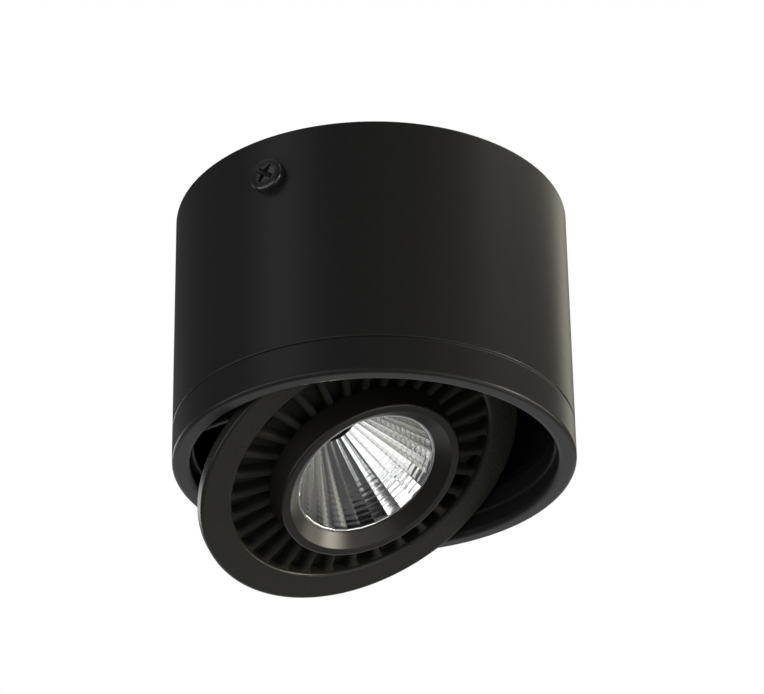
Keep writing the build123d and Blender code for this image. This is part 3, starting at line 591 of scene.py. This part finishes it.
class SPOTLIGHT_OT_housing(Operator):
    """Turns the tube and the trim ring below it"""

    bl_idname = "spotlight.housing"
    bl_label = "Housing"

    COLUMNS = 192

    def execute(self, context):
        sizes = context.scene.spotlight_housing
        coat = powder_coat(context.scene.spotlight_colours)
        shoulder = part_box("housing_shell")[0].z
        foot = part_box("trim_ring")[0].z
        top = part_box("trim_ring")[1].z
        ledge = foot + sizes.ledge_height
        inside = sizes.inner_radius
        tube = [(inside, 0), (sizes.radius, 0), (sizes.radius, shoulder), (inside, shoulder)]
        rounds = [sizes.ease, sizes.top_round, sizes.groove_round, sizes.ease]
        shell = piece("housing_tube", [lathe(rounded(tube, rounds), self.COLUMNS)])
        fit(shell, "housing", "black_paint", coat, "housing_shell")
        ring = [
            (sizes.opening_radius, foot),
            (sizes.radius, foot),
            (sizes.radius, shoulder),
            (sizes.spigot_radius, shoulder),
            (sizes.spigot_radius, top),
            (sizes.seat_radius, top),
            (sizes.seat_radius, sizes.groove_high),
            (sizes.groove_radius, sizes.groove_high),
            (sizes.groove_radius, sizes.groove_low),
            (sizes.seat_radius, sizes.groove_low),
            (sizes.seat_radius, ledge),
            (sizes.opening_radius, ledge),
        ]
        rounds = [sizes.opening_round, sizes.foot_round, sizes.groove_round]
        rounds += [sizes.ease] * (len(ring) - len(rounds))
        trim = piece("trim_collar", [lathe(rounded(ring, rounds), self.COLUMNS)])
        fit(trim, "housing", "black_paint", coat, "trim_ring")
        return {"FINISHED"}


class SPOTLIGHT_OT_side_screws(Operator):
    """Shapes the two round-headed side screws with their cross recesses"""

    bl_idname = "spotlight.side_screws"
    bl_label = "Side screws"

    COLUMNS = 120
    CROWN_ROWS = 44
    CROWN_POWER = 0.5
    # Width of the recess's sloping walls, and how much its wings narrow and its floor rises towards the tips
    SLOPE = 0.3 * MM
    TIP_TAPER = 0.4
    FLOOR_TAPER = 0.5

    def head(self, sizes):
        """A head as a height over its seat.

        The crown rises above the skirt by the root of the cosine while its radius grows by the sine, so that
        it is fuller than an ellipse. The recess is sunk where a point lies inside one of two tapered wings,
        deepest in the middle, and its walls slope across the wings' outline.
        """
        spread = np.linspace(0, np.pi / 2, self.CROWN_ROWS)[:, None]
        turns = np.linspace(0, TURN, self.COLUMNS + 1)[None, :]
        radius = sizes.head_radius * np.sin(spread)
        crown_height = sizes.head_height - sizes.head_skirt
        rise = sizes.head_skirt + crown_height * np.cos(spread) ** self.CROWN_POWER
        u = radius * np.cos(turns)
        w = radius * np.sin(turns)
        along = u * np.cos(sizes.recess_turn) + w * np.sin(sizes.recess_turn)
        over = w * np.cos(sizes.recess_turn) - u * np.sin(sizes.recess_turn)
        reach = sizes.recess_span / 2
        longer = np.maximum(np.abs(along), np.abs(over))
        shorter = np.minimum(np.abs(along), np.abs(over))
        wing = sizes.recess_width / 2 * (1 - self.TIP_TAPER * longer / reach)
        inside = np.minimum(wing - shorter, reach - longer)
        sunk = np.clip(inside / self.SLOPE + 0.5, 0, 1)
        depth = sizes.recess_depth * sunk * np.clip(1 - self.FLOOR_TAPER * longer / reach, 0, 1)
        crown = np.stack(np.broadcast_arrays(u, w, rise - depth), axis=-1)
        side = [
            (sizes.head_radius, 0),
            (sizes.shank_radius, 0),
            (sizes.shank_radius, -sizes.shank_length),
            (0, -sizes.shank_length),
        ]
        return np.concatenate([crown, lathe(np.array(side), self.COLUMNS)])

    def execute(self, context):
        sizes = context.scene.spotlight_housing
        local = self.head(sizes)
        grids = []
        for azimuth in (sizes.screw_azimuth, sizes.screw_azimuth + np.pi):
            outward = np.array([np.cos(azimuth), np.sin(azimuth), 0])
            sideways = np.array([-np.sin(azimuth), np.cos(azimuth), 0])
            seat = outward * sizes.radius - UPWARD * sizes.screw_drop
            grids.append(seat + local @ np.stack([sideways, UPWARD, outward]))
        screws = piece("side_screw_heads", grids)
        steel = oxidised_steel(context.scene.spotlight_colours)
        fit(screws, "housing", "black_screw", steel, "side_screws")
        return {"FINISHED"}


class SPOTLIGHT_OT_ceiling_plate(Operator):
    """Finishes the zinc-plated ceiling plate and turns the rubber bush in its cable hole"""

    bl_idname = "spotlight.ceiling_plate"
    bl_label = "Ceiling plate"

    COLUMNS = 64
    EDGE = 0.4 * MM

    def execute(self, context):
        sizes = context.scene.spotlight_housing
        colours = context.scene.spotlight_colours
        paint_nodes(zinc_plate(colours), "ceiling_plate")
        low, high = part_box("cable_bush")
        flange = (high.x - low.x) / 2
        section = [
            (sizes.bush_bore, high.z),
            (sizes.bush_neck, high.z),
            (sizes.bush_neck, -sizes.plate_thickness),
            (flange, -sizes.plate_thickness),
            (flange, low.z),
            (sizes.bush_bore, low.z),
        ]
        middle = np.array([(low.x + high.x) / 2, (low.y + high.y) / 2, 0])
        bush = piece("cable_bush_moulding", [middle + lathe(rounded(section, self.EDGE), self.COLUMNS)])
        fit(bush, "housing", "seal_rubber", moulded_rubber(colours), "cable_bush")
        return {"FINISHED"}


class SPOTLIGHT_OT_driver(Operator):
    """Finishes the driver, its circuit, the terminal block and the earth point inside the housing"""

    bl_idname = "spotlight.driver"
    bl_label = "Driver"

    def execute(self, context):
        colours = context.scene.spotlight_colours
        paint_nodes(moulded_plastic(colours), "driver_case", "driver_lid", "terminal_block")
        paint_nodes(circuit_board(colours), "driver_board")
        paint_nodes(polyester_tape(colours), "driver_transformer")
        paint_nodes(shrunk_sleeve(colours), "driver_capacitors")
        paint_nodes(zinc_plate(colours), "driver_screws", "block_screws")
        paint_nodes(moulded_rubber(colours), "output_gland")
        paint_nodes(turned_brass(colours), "terminal_screws", "earth_screw", "earth_tag")
        paint_nodes(lead_sheath(colours), "driver_leads")
        return {"FINISHED"}


class SPOTLIGHT_OT_swivel(Operator):
    """Finishes the swivel ring with its guide ears, and the retaining ring above it"""

    bl_idname = "spotlight.swivel"
    bl_label = "Swivel"

    def execute(self, context):
        colours = context.scene.spotlight_colours
        paint_nodes(powder_coat(colours), "swivel_ring")
        paint_nodes(oxidised_steel(colours), "retaining_ring")
        return {"FINISHED"}


class SPOTLIGHT_OT_casting(Operator):
    """Shapes the head's casting: rim, skirt, web, fins, cup and the blocks for the tilt screws"""

    bl_idname = "spotlight.casting"
    bl_label = "Head casting"

    COLUMNS = 192
    SKIRT_COLUMNS = 60
    NOSE_STEPS = 3
    # Rounding of minor edges, how deep the forms grow into each other, and the width of a sharp step
    EDGE = 0.3 * MM
    ROOT = 0.6 * MM
    STEP = 0.01 * MM
    # Places along a fillet, as shares of its radius from the wall
    FILLET_STATIONS = np.array([0.0, 0.12, 0.4, 1.0])
    LEAST_SINE = 0.00001

    def ear_limit(self, sizes, turns):
        """How far out the casting may reach at a turn, cut straight across beside the ears."""
        return sizes.ear_room / np.maximum(np.abs(np.sin(turns)), self.LEAST_SINE)

    def rim(self, sizes):
        """The rim, a flat ring turned about the head's axis with rounded edges."""
        section = [
            (sizes.rim_inner, sizes.rim_front),
            (sizes.rim_radius, sizes.rim_front),
            (sizes.rim_radius, sizes.rim_back),
            (sizes.rim_inner, sizes.rim_back),
        ]
        rounds = (sizes.inner_round, sizes.front_round, sizes.back_round, self.EDGE)
        return lathe(rounded(section, rounds), self.COLUMNS)

    def skirts(self, sizes):
        """Two arcs of skirt behind the rim, turned only as far round as they clear the ears."""
        section = [
            (sizes.rim_inner, sizes.rim_back - self.ROOT),
            (sizes.skirt_radius, sizes.rim_back - self.ROOT),
            (sizes.skirt_radius, sizes.skirt_back),
            (sizes.rim_inner, sizes.skirt_back),
        ]
        reach = np.arcsin(sizes.ear_room / sizes.skirt_radius)
        outline = rounded(section, self.EDGE)
        arcs = [lathe(outline, self.SKIRT_COLUMNS, middle - reach, middle + reach) for middle in (0, np.pi)]
        return [capped(arc.transpose(1, 0, 2)) for arc in arcs]

    def cup(self, sizes):
        """The cup that holds the bowl, turned, with a flat closed back."""
        section = [
            (0, sizes.floor_front),
            (sizes.hub_bore, sizes.floor_front),
            (sizes.hub_bore, sizes.hub_front),
            (sizes.hub_radius, sizes.hub_front),
            (sizes.hub_radius, sizes.sink_back),
            (0, sizes.sink_back),
        ]
        return lathe(rounded(section, self.EDGE, closed=False), self.COLUMNS)

    def web(self, sizes):
        """A flat ring that the fins stand on, cut straight across where it would meet an ear."""
        turns = np.linspace(0, TURN, self.COLUMNS + 1)
        outer = np.minimum(self.ear_limit(sizes, turns), sizes.rim_inner + self.ROOT)
        inner = np.full_like(outer, sizes.hub_radius - self.ROOT)
        front = sizes.web_front
        back = sizes.web_back
        radius = np.stack([inner, outer, outer, inner, inner])
        return around(radius, turns, np.array([front, front, back, back, front])[:, None])

    def fins(self, sizes):
        """Fins carried along the radius, each a section with rounded front edges.

        Half the thickness grows near hub and rim by a fillet, r minus the root of r squared less (r minus
        the way from the wall) squared, and grows with depth by the draft. The back steps in behind the
        shoulder, and stops at the rim where a fin would meet an ear.
        """
        turns = np.arange(sizes.fin_count) * TURN / sizes.fin_count
        clear = self.ear_limit(sizes, turns)
        rim_stations = sizes.rim_inner - sizes.fin_fillet * self.FILLET_STATIONS[::-1]
        cut = np.clip(clear, sizes.sink_radius, rim_stations[0]) - self.STEP
        hub_stations = sizes.hub_radius + sizes.fin_fillet * self.FILLET_STATIONS
        fixed = np.concatenate([
            [sizes.hub_radius - self.ROOT],
            hub_stations,
            [sizes.sink_radius - self.STEP, sizes.sink_radius],
        ])
        outer = np.concatenate([rim_stations, [sizes.rim_inner + self.ROOT]])
        count = len(turns)
        radius = np.concatenate([
            np.tile(fixed, (count, 1)),
            np.stack([cut, cut + self.STEP], axis=1),
            np.tile(outer, (count, 1)),
        ], axis=1)
        slope = (sizes.shoulder_back - sizes.skirt_back) / (sizes.rim_inner - sizes.sink_radius)
        sloping = sizes.shoulder_back - slope * (radius - sizes.sink_radius)
        deep = np.where(radius < sizes.sink_radius, sizes.sink_back, np.maximum(sloping, sizes.skirt_back))
        between_ears = radius <= np.maximum(clear[:, None], sizes.sink_radius)
        back = np.where(between_ears, deep, sizes.rim_back - self.EDGE)
        fillet = sizes.fin_fillet
        from_wall = np.clip(np.minimum(radius - sizes.hub_radius, sizes.rim_inner - radius), 0, fillet)
        half = sizes.fin_thickness / 2 + fillet - np.sqrt(fillet**2 - (fillet - from_wall) ** 2)
        foot = half + sizes.fin_draft * (back - sizes.fin_front)
        bend = np.linspace(0, np.pi / 2, self.NOSE_STEPS + 1)
        inwards = sizes.fin_round * (1 - np.cos(bend))
        nose = sizes.fin_front + sizes.fin_round * (1 - np.sin(bend))
        half = half[..., None]
        foot = foot[..., None]
        back = back[..., None]
        nose = np.broadcast_to(nose, half.shape[:-1] + nose.shape)
        beside = np.concatenate([-foot, inwards - half, half - inwards[::-1], foot, -foot], axis=-1)
        behind = np.concatenate([back, nose, nose[..., ::-1], back, back], axis=-1)
        ray = turns[:, None, None]
        x = radius[..., None] * np.cos(ray) - beside * np.sin(ray)
        y = radius[..., None] * np.sin(ray) + beside * np.cos(ray)
        return [capped(fin) for fin in np.stack([x, y, behind], axis=-1)]

    def blocks(self, sizes):
        """Two blocks beside the cup: a rounded rectangle carried outwards and drawn in at its outer end."""
        wide = sizes.block_width / 2
        high = sizes.block_height / 2
        corners = [(-wide, -high), (wide, -high), (wide, high), (-wide, high)]
        outline = rounded(corners, sizes.block_edge)
        share = np.linspace(0, np.pi / 2, ARC_STEPS + 1)
        inset = np.concatenate([[0], sizes.block_edge * (1 - np.cos(share))])
        out = np.concatenate([[sizes.hub_bore], sizes.block_face - sizes.block_edge * (1 - np.sin(share))])
        shrink = 1 - inset[:, None] / np.array([wide, high])
        loops = outline[None] * shrink[:, None]
        level = np.broadcast_to(out[:, None], loops.shape[:2])
        one = np.stack([loops[..., 0], level, loops[..., 1] + sizes.block_centre], axis=-1)
        return [capped(one), capped(one * np.array([1, -1, 1]))]

    def execute(self, context):
        sizes = context.scene.spotlight_head
        colours = context.scene.spotlight_colours
        middle = [self.cup(sizes), self.web(sizes)] + self.fins(sizes) + self.blocks(sizes)
        finned = piece("finned_casting", [in_head(part) for part in middle])
        fit(finned, "head", "head_paint", dry_spray(colours), "heat_sink")
        edge = [self.rim(sizes)] + self.skirts(sizes)
        rim = piece("casting_rim", [in_head(part) for part in edge])
        fit(rim, "head", "head_paint", casting_paint(colours), "heat_sink")
        return {"FINISHED"}


class SPOTLIGHT_OT_bezel(Operator):
    """Turns the bezel with its flat lip and the cone down to the bowl"""

    bl_idname = "spotlight.bezel"
    bl_label = "Bezel"

    COLUMNS = 192
    EDGE = 0.12 * MM

    def execute(self, context):
        sizes = context.scene.spotlight_head
        section = [
            (sizes.mouth_radius, sizes.mouth_front),
            (sizes.mouth_radius - sizes.lip_width, sizes.mouth_front),
            (sizes.cone_radius, sizes.bowl_front),
            (sizes.spigot_bore, sizes.bowl_front),
            (sizes.spigot_bore, sizes.spigot_back),
            (sizes.spigot_radius, sizes.spigot_back),
            (sizes.spigot_radius, sizes.hub_front),
            (sizes.flare_radius, sizes.hub_front),
        ]
        rounds = [sizes.lip_round] + [self.EDGE] * (len(section) - 1)
        bezel = piece("bezel_turning", [in_head(lathe(rounded(section, rounds), self.COLUMNS))])
        anodised = bezel_anodising(context.scene.spotlight_colours)
        fit(bezel, "head", "bezel_paint", anodised, "bezel_ring")
        return {"FINISHED"}


class SPOTLIGHT_OT_bowl(Operator):
    """Shapes the mirror bowl from strips of small bulging facets"""

    bl_idname = "spotlight.bowl"
    bl_label = "Bowl"

    # Steps along and across each facet and round the mouth, and the angle from which facets meet sharply
    FINE = 6
    EDGE_STEPS = 4
    FACET_ANGLE = np.radians(9)

    def crown(self, share):
        """A crown of height 1 over a share q that runs from 0 to 1: 4 q (1 - q)."""
        return 4 * share * (1 - share)

    def wall(self, sizes, top, bottom, shares):
        """Points between two ends of the wall: the straight way plus an outward bulge, one crown high."""
        way = bottom - top
        outwards = np.array([way[1], -way[0]]) / np.linalg.norm(way)
        bulge = self.crown(shares) * sizes.bowl_fullness
        return top + shares[:, None] * way + bulge[:, None] * outwards

    def profile(self, sizes, mouth, throat):
        """Points down the inside, and how far along its facet each one lies.

        A quarter round leads in from the mouth. Then straight facets join points of the bulging wall.
        """
        fine = np.arange(sizes.rows * self.FINE + 1) / self.FINE
        row = np.minimum(fine.astype(int), sizes.rows - 1)
        along = fine - row
        ends = self.wall(sizes, mouth, throat, np.arange(sizes.rows + 1) / sizes.rows)
        straight = ends[row] + along[:, None] * (ends[row + 1] - ends[row])
        bend = np.linspace(np.pi / 2, 0, self.EDGE_STEPS, endpoint=False)
        brow = mouth + sizes.bowl_edge * np.stack([1 - np.cos(bend), -np.sin(bend)], axis=1)
        return np.concatenate([brow, straight]), np.concatenate([np.zeros(self.EDGE_STEPS), along])

    def facets(self, sizes, mouth, throat):
        """The inside: its profile turned in flat strips, whose facets swell a little towards the axis.

        On a flat strip the radius is that of its edge, times the cosine of half the strip's angle over the
        cosine of the angle from its middle. The swell is one crown across a strip plus one along a facet.
        """
        profile, along = self.profile(sizes, mouth, throat)
        columns = np.arange(sizes.strips * self.FINE + 1) / self.FINE
        across = columns - np.floor(columns)
        strip = TURN / sizes.strips
        flat = np.cos(strip / 2) / np.cos((across - 0.5) * strip)
        swell = sizes.strip_crown * self.crown(across) + sizes.facet_crown * self.crown(along)[:, None]
        return around(profile[:, :1] * flat - swell, columns * strip + sizes.strip_turn, profile[:, 1:])

    def execute(self, context):
        sizes = context.scene.spotlight_head
        mouth = np.array([sizes.bowl_radius, sizes.bowl_front + sizes.bowl_edge])
        throat = np.array([sizes.throat_radius, sizes.bowl_back])
        inside = self.facets(sizes, mouth, throat)
        flange_back = sizes.bowl_front + sizes.flange_depth
        root = np.array([sizes.bowl_radius + sizes.bowl_wall, flange_back])
        end = throat + np.array([sizes.bowl_wall, 0])
        outside = self.wall(sizes, root, end, np.linspace(1, 0, sizes.rows))
        flange = [(sizes.flange_radius, flange_back), (sizes.flange_radius, sizes.bowl_front)]
        start = sizes.strip_turn
        behind = lathe(np.concatenate([outside, flange]), sizes.strips * self.FINE, start, start + TURN)
        shell = np.concatenate([inside, behind, inside[:1]])
        bowl = piece("faceted_bowl", [in_head(shell)], self.FACET_ANGLE)
        mirror = mirror_aluminium(context.scene.spotlight_colours)
        fit(bowl, "head", "bowl_metal", mirror, "reflector")
        return {"FINISHED"}


class SPOTLIGHT_OT_light_source(Operator):
    """Shapes the light source, a disc of phosphor with a raised dam, and finishes its board and holder"""

    bl_idname = "spotlight.light_source"
    bl_label = "Light source"

    COLUMNS = 64
    # Rounding of the edges, and how far the gel lies below the top of its dam
    EDGE = 0.09 * MM
    DISH = 0.2 * MM

    def execute(self, context):
        sizes = context.scene.spotlight_head
        colours = context.scene.spotlight_colours
        inner = sizes.emitter_radius - sizes.dam_width
        gel = [
            (0, sizes.emitter_front + self.DISH),
            (inner, sizes.emitter_front + self.DISH),
            (inner, sizes.emitter_front),
            (sizes.emitter_radius, sizes.emitter_front),
            (sizes.emitter_radius, sizes.emitter_back),
            (0, sizes.emitter_back),
        ]
        outline = rounded(gel, self.EDGE, closed=False)
        disc = piece("phosphor_disc", [in_head(lathe(outline, self.COLUMNS))])
        fit(disc, "head", "phosphor", phosphor_gel_in_painted_shade(colours), "cob_emitter")
        paint_nodes(lacquered_board(colours), "cob_board")
        paint_nodes(black_plastic_as_painted_shade(colours), "cob_holder")
        paint_nodes(thermal_silicone(colours), "thermal_pad")
        paint_nodes(zinc_plate(colours), "cob_screws")
        paint_nodes(lead_sheath(colours), "cob_leads")
        return {"FINISHED"}


class SPOTLIGHT_OT_tilt_hardware(Operator):
    """Finishes the tilt screws, their washers and the gland behind the casting"""

    bl_idname = "spotlight.tilt_hardware"
    bl_label = "Tilt hardware"

    def execute(self, context):
        colours = context.scene.spotlight_colours
        paint_nodes(zinc_plate(colours), "tilt_screws", "spring_washers")
        paint_nodes(natural_nylon(colours), "friction_washers")
        paint_nodes(moulded_rubber(colours), "lead_gland")
        return {"FINISHED"}


class SPOTLIGHT_OT_head_lead(Operator):
    """Lays the lead from the head's gland up to the driver"""

    bl_idname = "spotlight.head_lead"
    bl_label = "Head lead"

    ORDER = 3
    RESOLUTION = 12
    BEVEL = 4

    def execute(self, context):
        sizes = context.scene.spotlight_head
        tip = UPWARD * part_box("head_lead")[1].z
        level = tip - UPWARD * sizes.lead_drop
        turn = (np.pi / 2 + REST_TILT) / 2
        climbing = np.array([np.cos(turn), 0, np.sin(turn)])
        start = PIVOT - ACROSS * sizes.gland_offset + BACKWARDS * (sizes.sink_back + sizes.gland_height)
        run = (level[2] - start[2]) / (BACKWARDS[2] + climbing[2])
        low = start + BACKWARDS * run
        route = np.array([start, low, low + climbing * run, level, tip])
        line = bpy.data.curves.new("head_lead_route", "CURVE")
        line.dimensions = "3D"
        line.bevel_depth = sizes.lead_radius
        line.bevel_resolution = self.BEVEL
        line.use_fill_caps = True
        spline = line.splines.new("NURBS")
        spline.points.add(len(route) - 1)
        spline.points.foreach_set("co", np.column_stack([route, np.ones(len(route))]).ravel())
        spline.order_u = self.ORDER
        spline.resolution_u = self.RESOLUTION
        spline.use_endpoint_u = True
        path = bpy.data.objects.new("head_lead_route", line)
        context.scene.collection.objects.link(path)
        context.view_layer.update()
        mesh = bpy.data.meshes.new_from_object(path.evaluated_get(context.evaluated_depsgraph_get()))
        bpy.data.objects.remove(path)
        mesh.shade_smooth()
        mesh.set_sharp_from_angle(angle=SOFT_ANGLE)
        mesh.materials.clear()
        mesh.materials.append(lead_sheath(context.scene.spotlight_colours))
        lead = bpy.data.objects.new("head_lead_cable", mesh)
        context.scene.collection.objects.link(lead)
        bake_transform(lead)
        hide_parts("head_lead")
        return {"FINISHED"}


# One soft box of the stage: its bearing in degrees, its width and height, its power in watts and its tint
SoftBox = namedtuple("SoftBox", "azimuth elevation width height power tint")


class SPOTLIGHT_OT_stage(Operator):
    """Sets up the white studio: floor, surroundings, lamps and camera"""

    bl_idname = "spotlight.stage"
    bl_label = "Stage"

    WHITE = (1, 1, 1, 1)
    FLOOR = linear("#f1f1ef")
    NEUTRAL = linear("#ffffff")
    WARM = linear("#fff7e4")
    LAMP_DISTANCE = 0.95
    LAMPS = {
        "left_strip": SoftBox(-141, 30, 0.45, 0.3, 0.42, NEUTRAL),
        "right_bank": SoftBox(14, 52, 1.0, 0.5, 3.6, WARM),
        "warm_window": SoftBox(-12, -8, 0.3, 0.3, 7.0, WARM),
        "warm_side": SoftBox(14, -8, 0.3, 0.3, 1.6, WARM),
        "left_glow": SoftBox(132, 10, 0.35, 0.3, 1.05, NEUTRAL),
        "front_left": SoftBox(-131, -17, 0.78, 0.48, 2.4, NEUTRAL),
        "front_right": SoftBox(-47, -30, 0.7, 0.4, 1.2, NEUTRAL),
        "low_right": SoftBox(-9, -48, 0.7, 0.36, 1.5, NEUTRAL),
        "camera_fill": SoftBox(-91, -33, 0.5, 0.26, 0.22, WARM),
        "left_side": SoftBox(-168, -14, 0.4, 0.3, 1.4, NEUTRAL),
        "right_edge": SoftBox(55, 28, 0.3, 0.3, 0.4, WARM),
    }

    def bearing(self, stage, azimuth, elevation):
        """Unit vector from the lamp towards a bearing in degrees.

        Azimuth 0 is to the camera's right and -90 behind it, seen from above. Elevation is upwards.
        """
        turn = np.radians(azimuth) + stage.camera_turn
        rise = np.radians(elevation)
        return around(np.cos(rise), turn, np.sin(rise))

    def floor(self, stage):
        """A wide pale square far below, which keeps a soft shadow."""
        half = stage.floor_size / 2
        corners = np.array([[(-half, -half), (half, -half)], [(-half, half), (half, half)]])
        level = np.full((2, 2, 1), stage.floor_height)
        ground = piece("studio_floor", [np.concatenate([corners, level], axis=-1)])
        paper = finish(
            "pale_paper_floor",
            self.FLOOR,
            roughness=0.8,
            cell=4 * MM,
            depth=0.01 * MM,
            shade=0.01,
            specular=0.1,
        )
        tree = paper.node_tree
        seen = add_node(tree, "ShaderNodeLightPath").outputs["Is Camera Ray"]
        lift = add_node(tree, "ShaderNodeMath", {0: seen, 1: stage.floor_lift}, operation="MULTIPLY")
        shader = tree.nodes["Principled BSDF"]
        shader.inputs["Emission Color"].default_value = self.WHITE
        tree.links.new(lift.outputs[0], shader.inputs["Emission Strength"])
        ground.data.materials.append(paper)
        ground.visible_glossy = False

    def glow(self, tree, way, towards, span, levels):
        """A level that rises smoothly as the cosine between a ray and a direction passes over a span."""
        ways = {0: way, 1: towards}
        facing = add_node(tree, "ShaderNodeVectorMath", ways, operation="DOT_PRODUCT")
        values = {"From Min": span[0], "From Max": span[1], "To Min": levels[0], "To Max": levels[1]}
        values["Value"] = facing.outputs["Value"]
        return add_node(tree, "ShaderNodeMapRange", values, interpolation_type="SMOOTHSTEP").outputs[0]

    def surroundings(self, context, stage):
        """White for the camera, an even light for shading, and a dim studio in reflections.

        The studio is dark at eye level and lighter overhead, with a pale table behind the lamp.
        """
        world = bpy.data.worlds.new("white_studio")
        context.scene.world = world
        world.use_nodes = True
        tree = world.node_tree
        tree.nodes.clear()
        rays = add_node(tree, "ShaderNodeLightPath").outputs
        way = add_node(tree, "ShaderNodeTexCoord").outputs["Generated"]
        table = self.bearing(stage, np.degrees(stage.table_azimuth), np.degrees(stage.table_fall))
        upper_span = np.sin([stage.upper_start, stage.upper_end])
        table_span = np.cos([stage.table_outer, stage.table_inner])
        upper = self.glow(tree, way, UPWARD, upper_span, (stage.studio_dark, stage.studio_upper))
        lower = self.glow(tree, way, table, table_span, (0, stage.table_light))
        level = add_node(tree, "ShaderNodeMath", {0: upper, 1: lower}, operation="ADD")
        views = {MIX_FACTOR: rays["Is Camera Ray"], MIX_A: level.outputs[0], MIX_B: self.WHITE}
        shown = add_node(tree, "ShaderNodeMix", views, data_type="RGBA")
        seen = rays["Is Camera Ray"]
        for ray in ("Is Glossy Ray", "Is Transmission Ray"):
            seen = add_node(tree, "ShaderNodeMath", {0: seen, 1: rays[ray]}, operation="MAXIMUM").outputs[0]
        even = add_node(tree, "ShaderNodeBackground", {"Color": self.WHITE, "Strength": stage.ambient})
        backdrop = add_node(tree, "ShaderNodeBackground", {"Color": shown.outputs[MIX_RESULT]})
        sides = {0: seen, 1: even.outputs[0], 2: backdrop.outputs[0]}
        both = add_node(tree, "ShaderNodeMixShader", sides)
        add_node(tree, "ShaderNodeOutputWorld", {"Surface": both.outputs[0]})

    def lamps(self, context, stage):
        """Soft boxes all round, each turned to the middle of the housing."""
        middle = UPWARD * stage.aim_height
        for name, box in self.LAMPS.items():
            light = bpy.data.lights.new(name, "AREA")
            light.shape = "RECTANGLE"
            light.size = box.width
            light.size_y = box.height
            light.energy = box.power
            light.color = box.tint
            lamp = bpy.data.objects.new(name, light)
            back = self.bearing(stage, box.azimuth, box.elevation)
            right = np.cross(UPWARD, back)
            right /= np.linalg.norm(right)
            spot = middle + back * self.LAMP_DISTANCE
            lamp.matrix_world = self.placed(right, np.cross(back, right), back, spot)
            lamp.visible_camera = False
            context.scene.collection.objects.link(lamp)

    def placed(self, right, up, back, spot):
        """Matrix of an object whose own axes lie along three directions, at a spot."""
        matrix = np.eye(4)
        matrix[:3] = np.stack([right, up, back, spot], axis=1)
        return Matrix(matrix.tolist())

    def camera(self, context, stage):
        """A long lens below and in front of the lamp, rolled a little."""
        right = self.bearing(stage, 0, 0)
        level_ahead = self.bearing(stage, 90, 0)
        ahead = np.cos(stage.camera_rise) * level_ahead + np.sin(stage.camera_rise) * UPWARD
        up = np.cos(stage.camera_rise) * UPWARD - np.sin(stage.camera_rise) * level_ahead
        rolled_right = np.cos(stage.camera_roll) * right + np.sin(stage.camera_roll) * up
        rolled_up = np.cos(stage.camera_roll) * up - np.sin(stage.camera_roll) * right
        aim = stage.aim_right * right + stage.aim_height * UPWARD
        lens = bpy.data.cameras.new("camera")
        lens.lens = stage.lens
        made = bpy.data.objects.new("camera", lens)
        spot = aim - stage.camera_distance * ahead
        made.matrix_world = self.placed(rolled_right, rolled_up, -ahead, spot)
        context.scene.collection.objects.link(made)
        context.scene.camera = made

    def execute(self, context):
        stage = context.scene.spotlight_stage
        self.floor(stage)
        self.surroundings(context, stage)
        self.lamps(context, stage)
        self.camera(context, stage)
        context.scene.view_settings.view_transform = "Standard"
        return {"FINISHED"}


class SPOTLIGHT_PT_panel(Panel):
    """Sizes, colours and steps of the spotlight"""

    bl_idname = "SPOTLIGHT_PT_panel"
    bl_label = "Spotlight"
    bl_space_type = "VIEW_3D"
    bl_region_type = "UI"
    bl_category = "Spotlight"

    def draw(self, context):
        for step in STEPS:
            self.layout.operator(step.bl_idname)
        for group in GROUPS:
            values = getattr(context.scene, group)
            for name in values.bl_rna.properties.keys():
                if name not in ("rna_type", "name"):
                    self.layout.prop(values, name)


STEPS = (
    SPOTLIGHT_OT_housing,
    SPOTLIGHT_OT_side_screws,
    SPOTLIGHT_OT_ceiling_plate,
    SPOTLIGHT_OT_driver,
    SPOTLIGHT_OT_swivel,
    SPOTLIGHT_OT_casting,
    SPOTLIGHT_OT_bezel,
    SPOTLIGHT_OT_bowl,
    SPOTLIGHT_OT_light_source,
    SPOTLIGHT_OT_tilt_hardware,
    SPOTLIGHT_OT_head_lead,
    SPOTLIGHT_OT_stage,
)
GROUPS = {
    "spotlight_housing": HousingSizes,
    "spotlight_head": HeadSizes,
    "spotlight_colours": Colours,
    "spotlight_stage": StageSizes,
}


def register():
    """Registers the property groups, the steps and the panel."""
    for name, group in GROUPS.items():
        bpy.utils.register_class(group)
        setattr(bpy.types.Scene, name, PointerProperty(type=group))
    for step in (*STEPS, SPOTLIGHT_PT_panel):
        bpy.utils.register_class(step)


def unregister():
    """Takes the panel, the steps and the property groups away again."""
    for step in (SPOTLIGHT_PT_panel, *reversed(STEPS)):
        bpy.utils.unregister_class(step)
    for name, group in GROUPS.items():
        delattr(bpy.types.Scene, name)
        bpy.utils.unregister_class(group)


def main():
    """Builds every piece and the stage."""
    register()
    bpy.ops.spotlight.housing()
    bpy.ops.spotlight.side_screws()
    bpy.ops.spotlight.ceiling_plate()
    bpy.ops.spotlight.driver()
    bpy.ops.spotlight.swivel()
    bpy.ops.spotlight.casting()
    bpy.ops.spotlight.bezel()
    bpy.ops.spotlight.bowl()
    bpy.ops.spotlight.light_source()
    bpy.ops.spotlight.tilt_hardware()
    bpy.ops.spotlight.head_lead()
    bpy.ops.spotlight.stage()


if __name__ == "__main__":
    main()
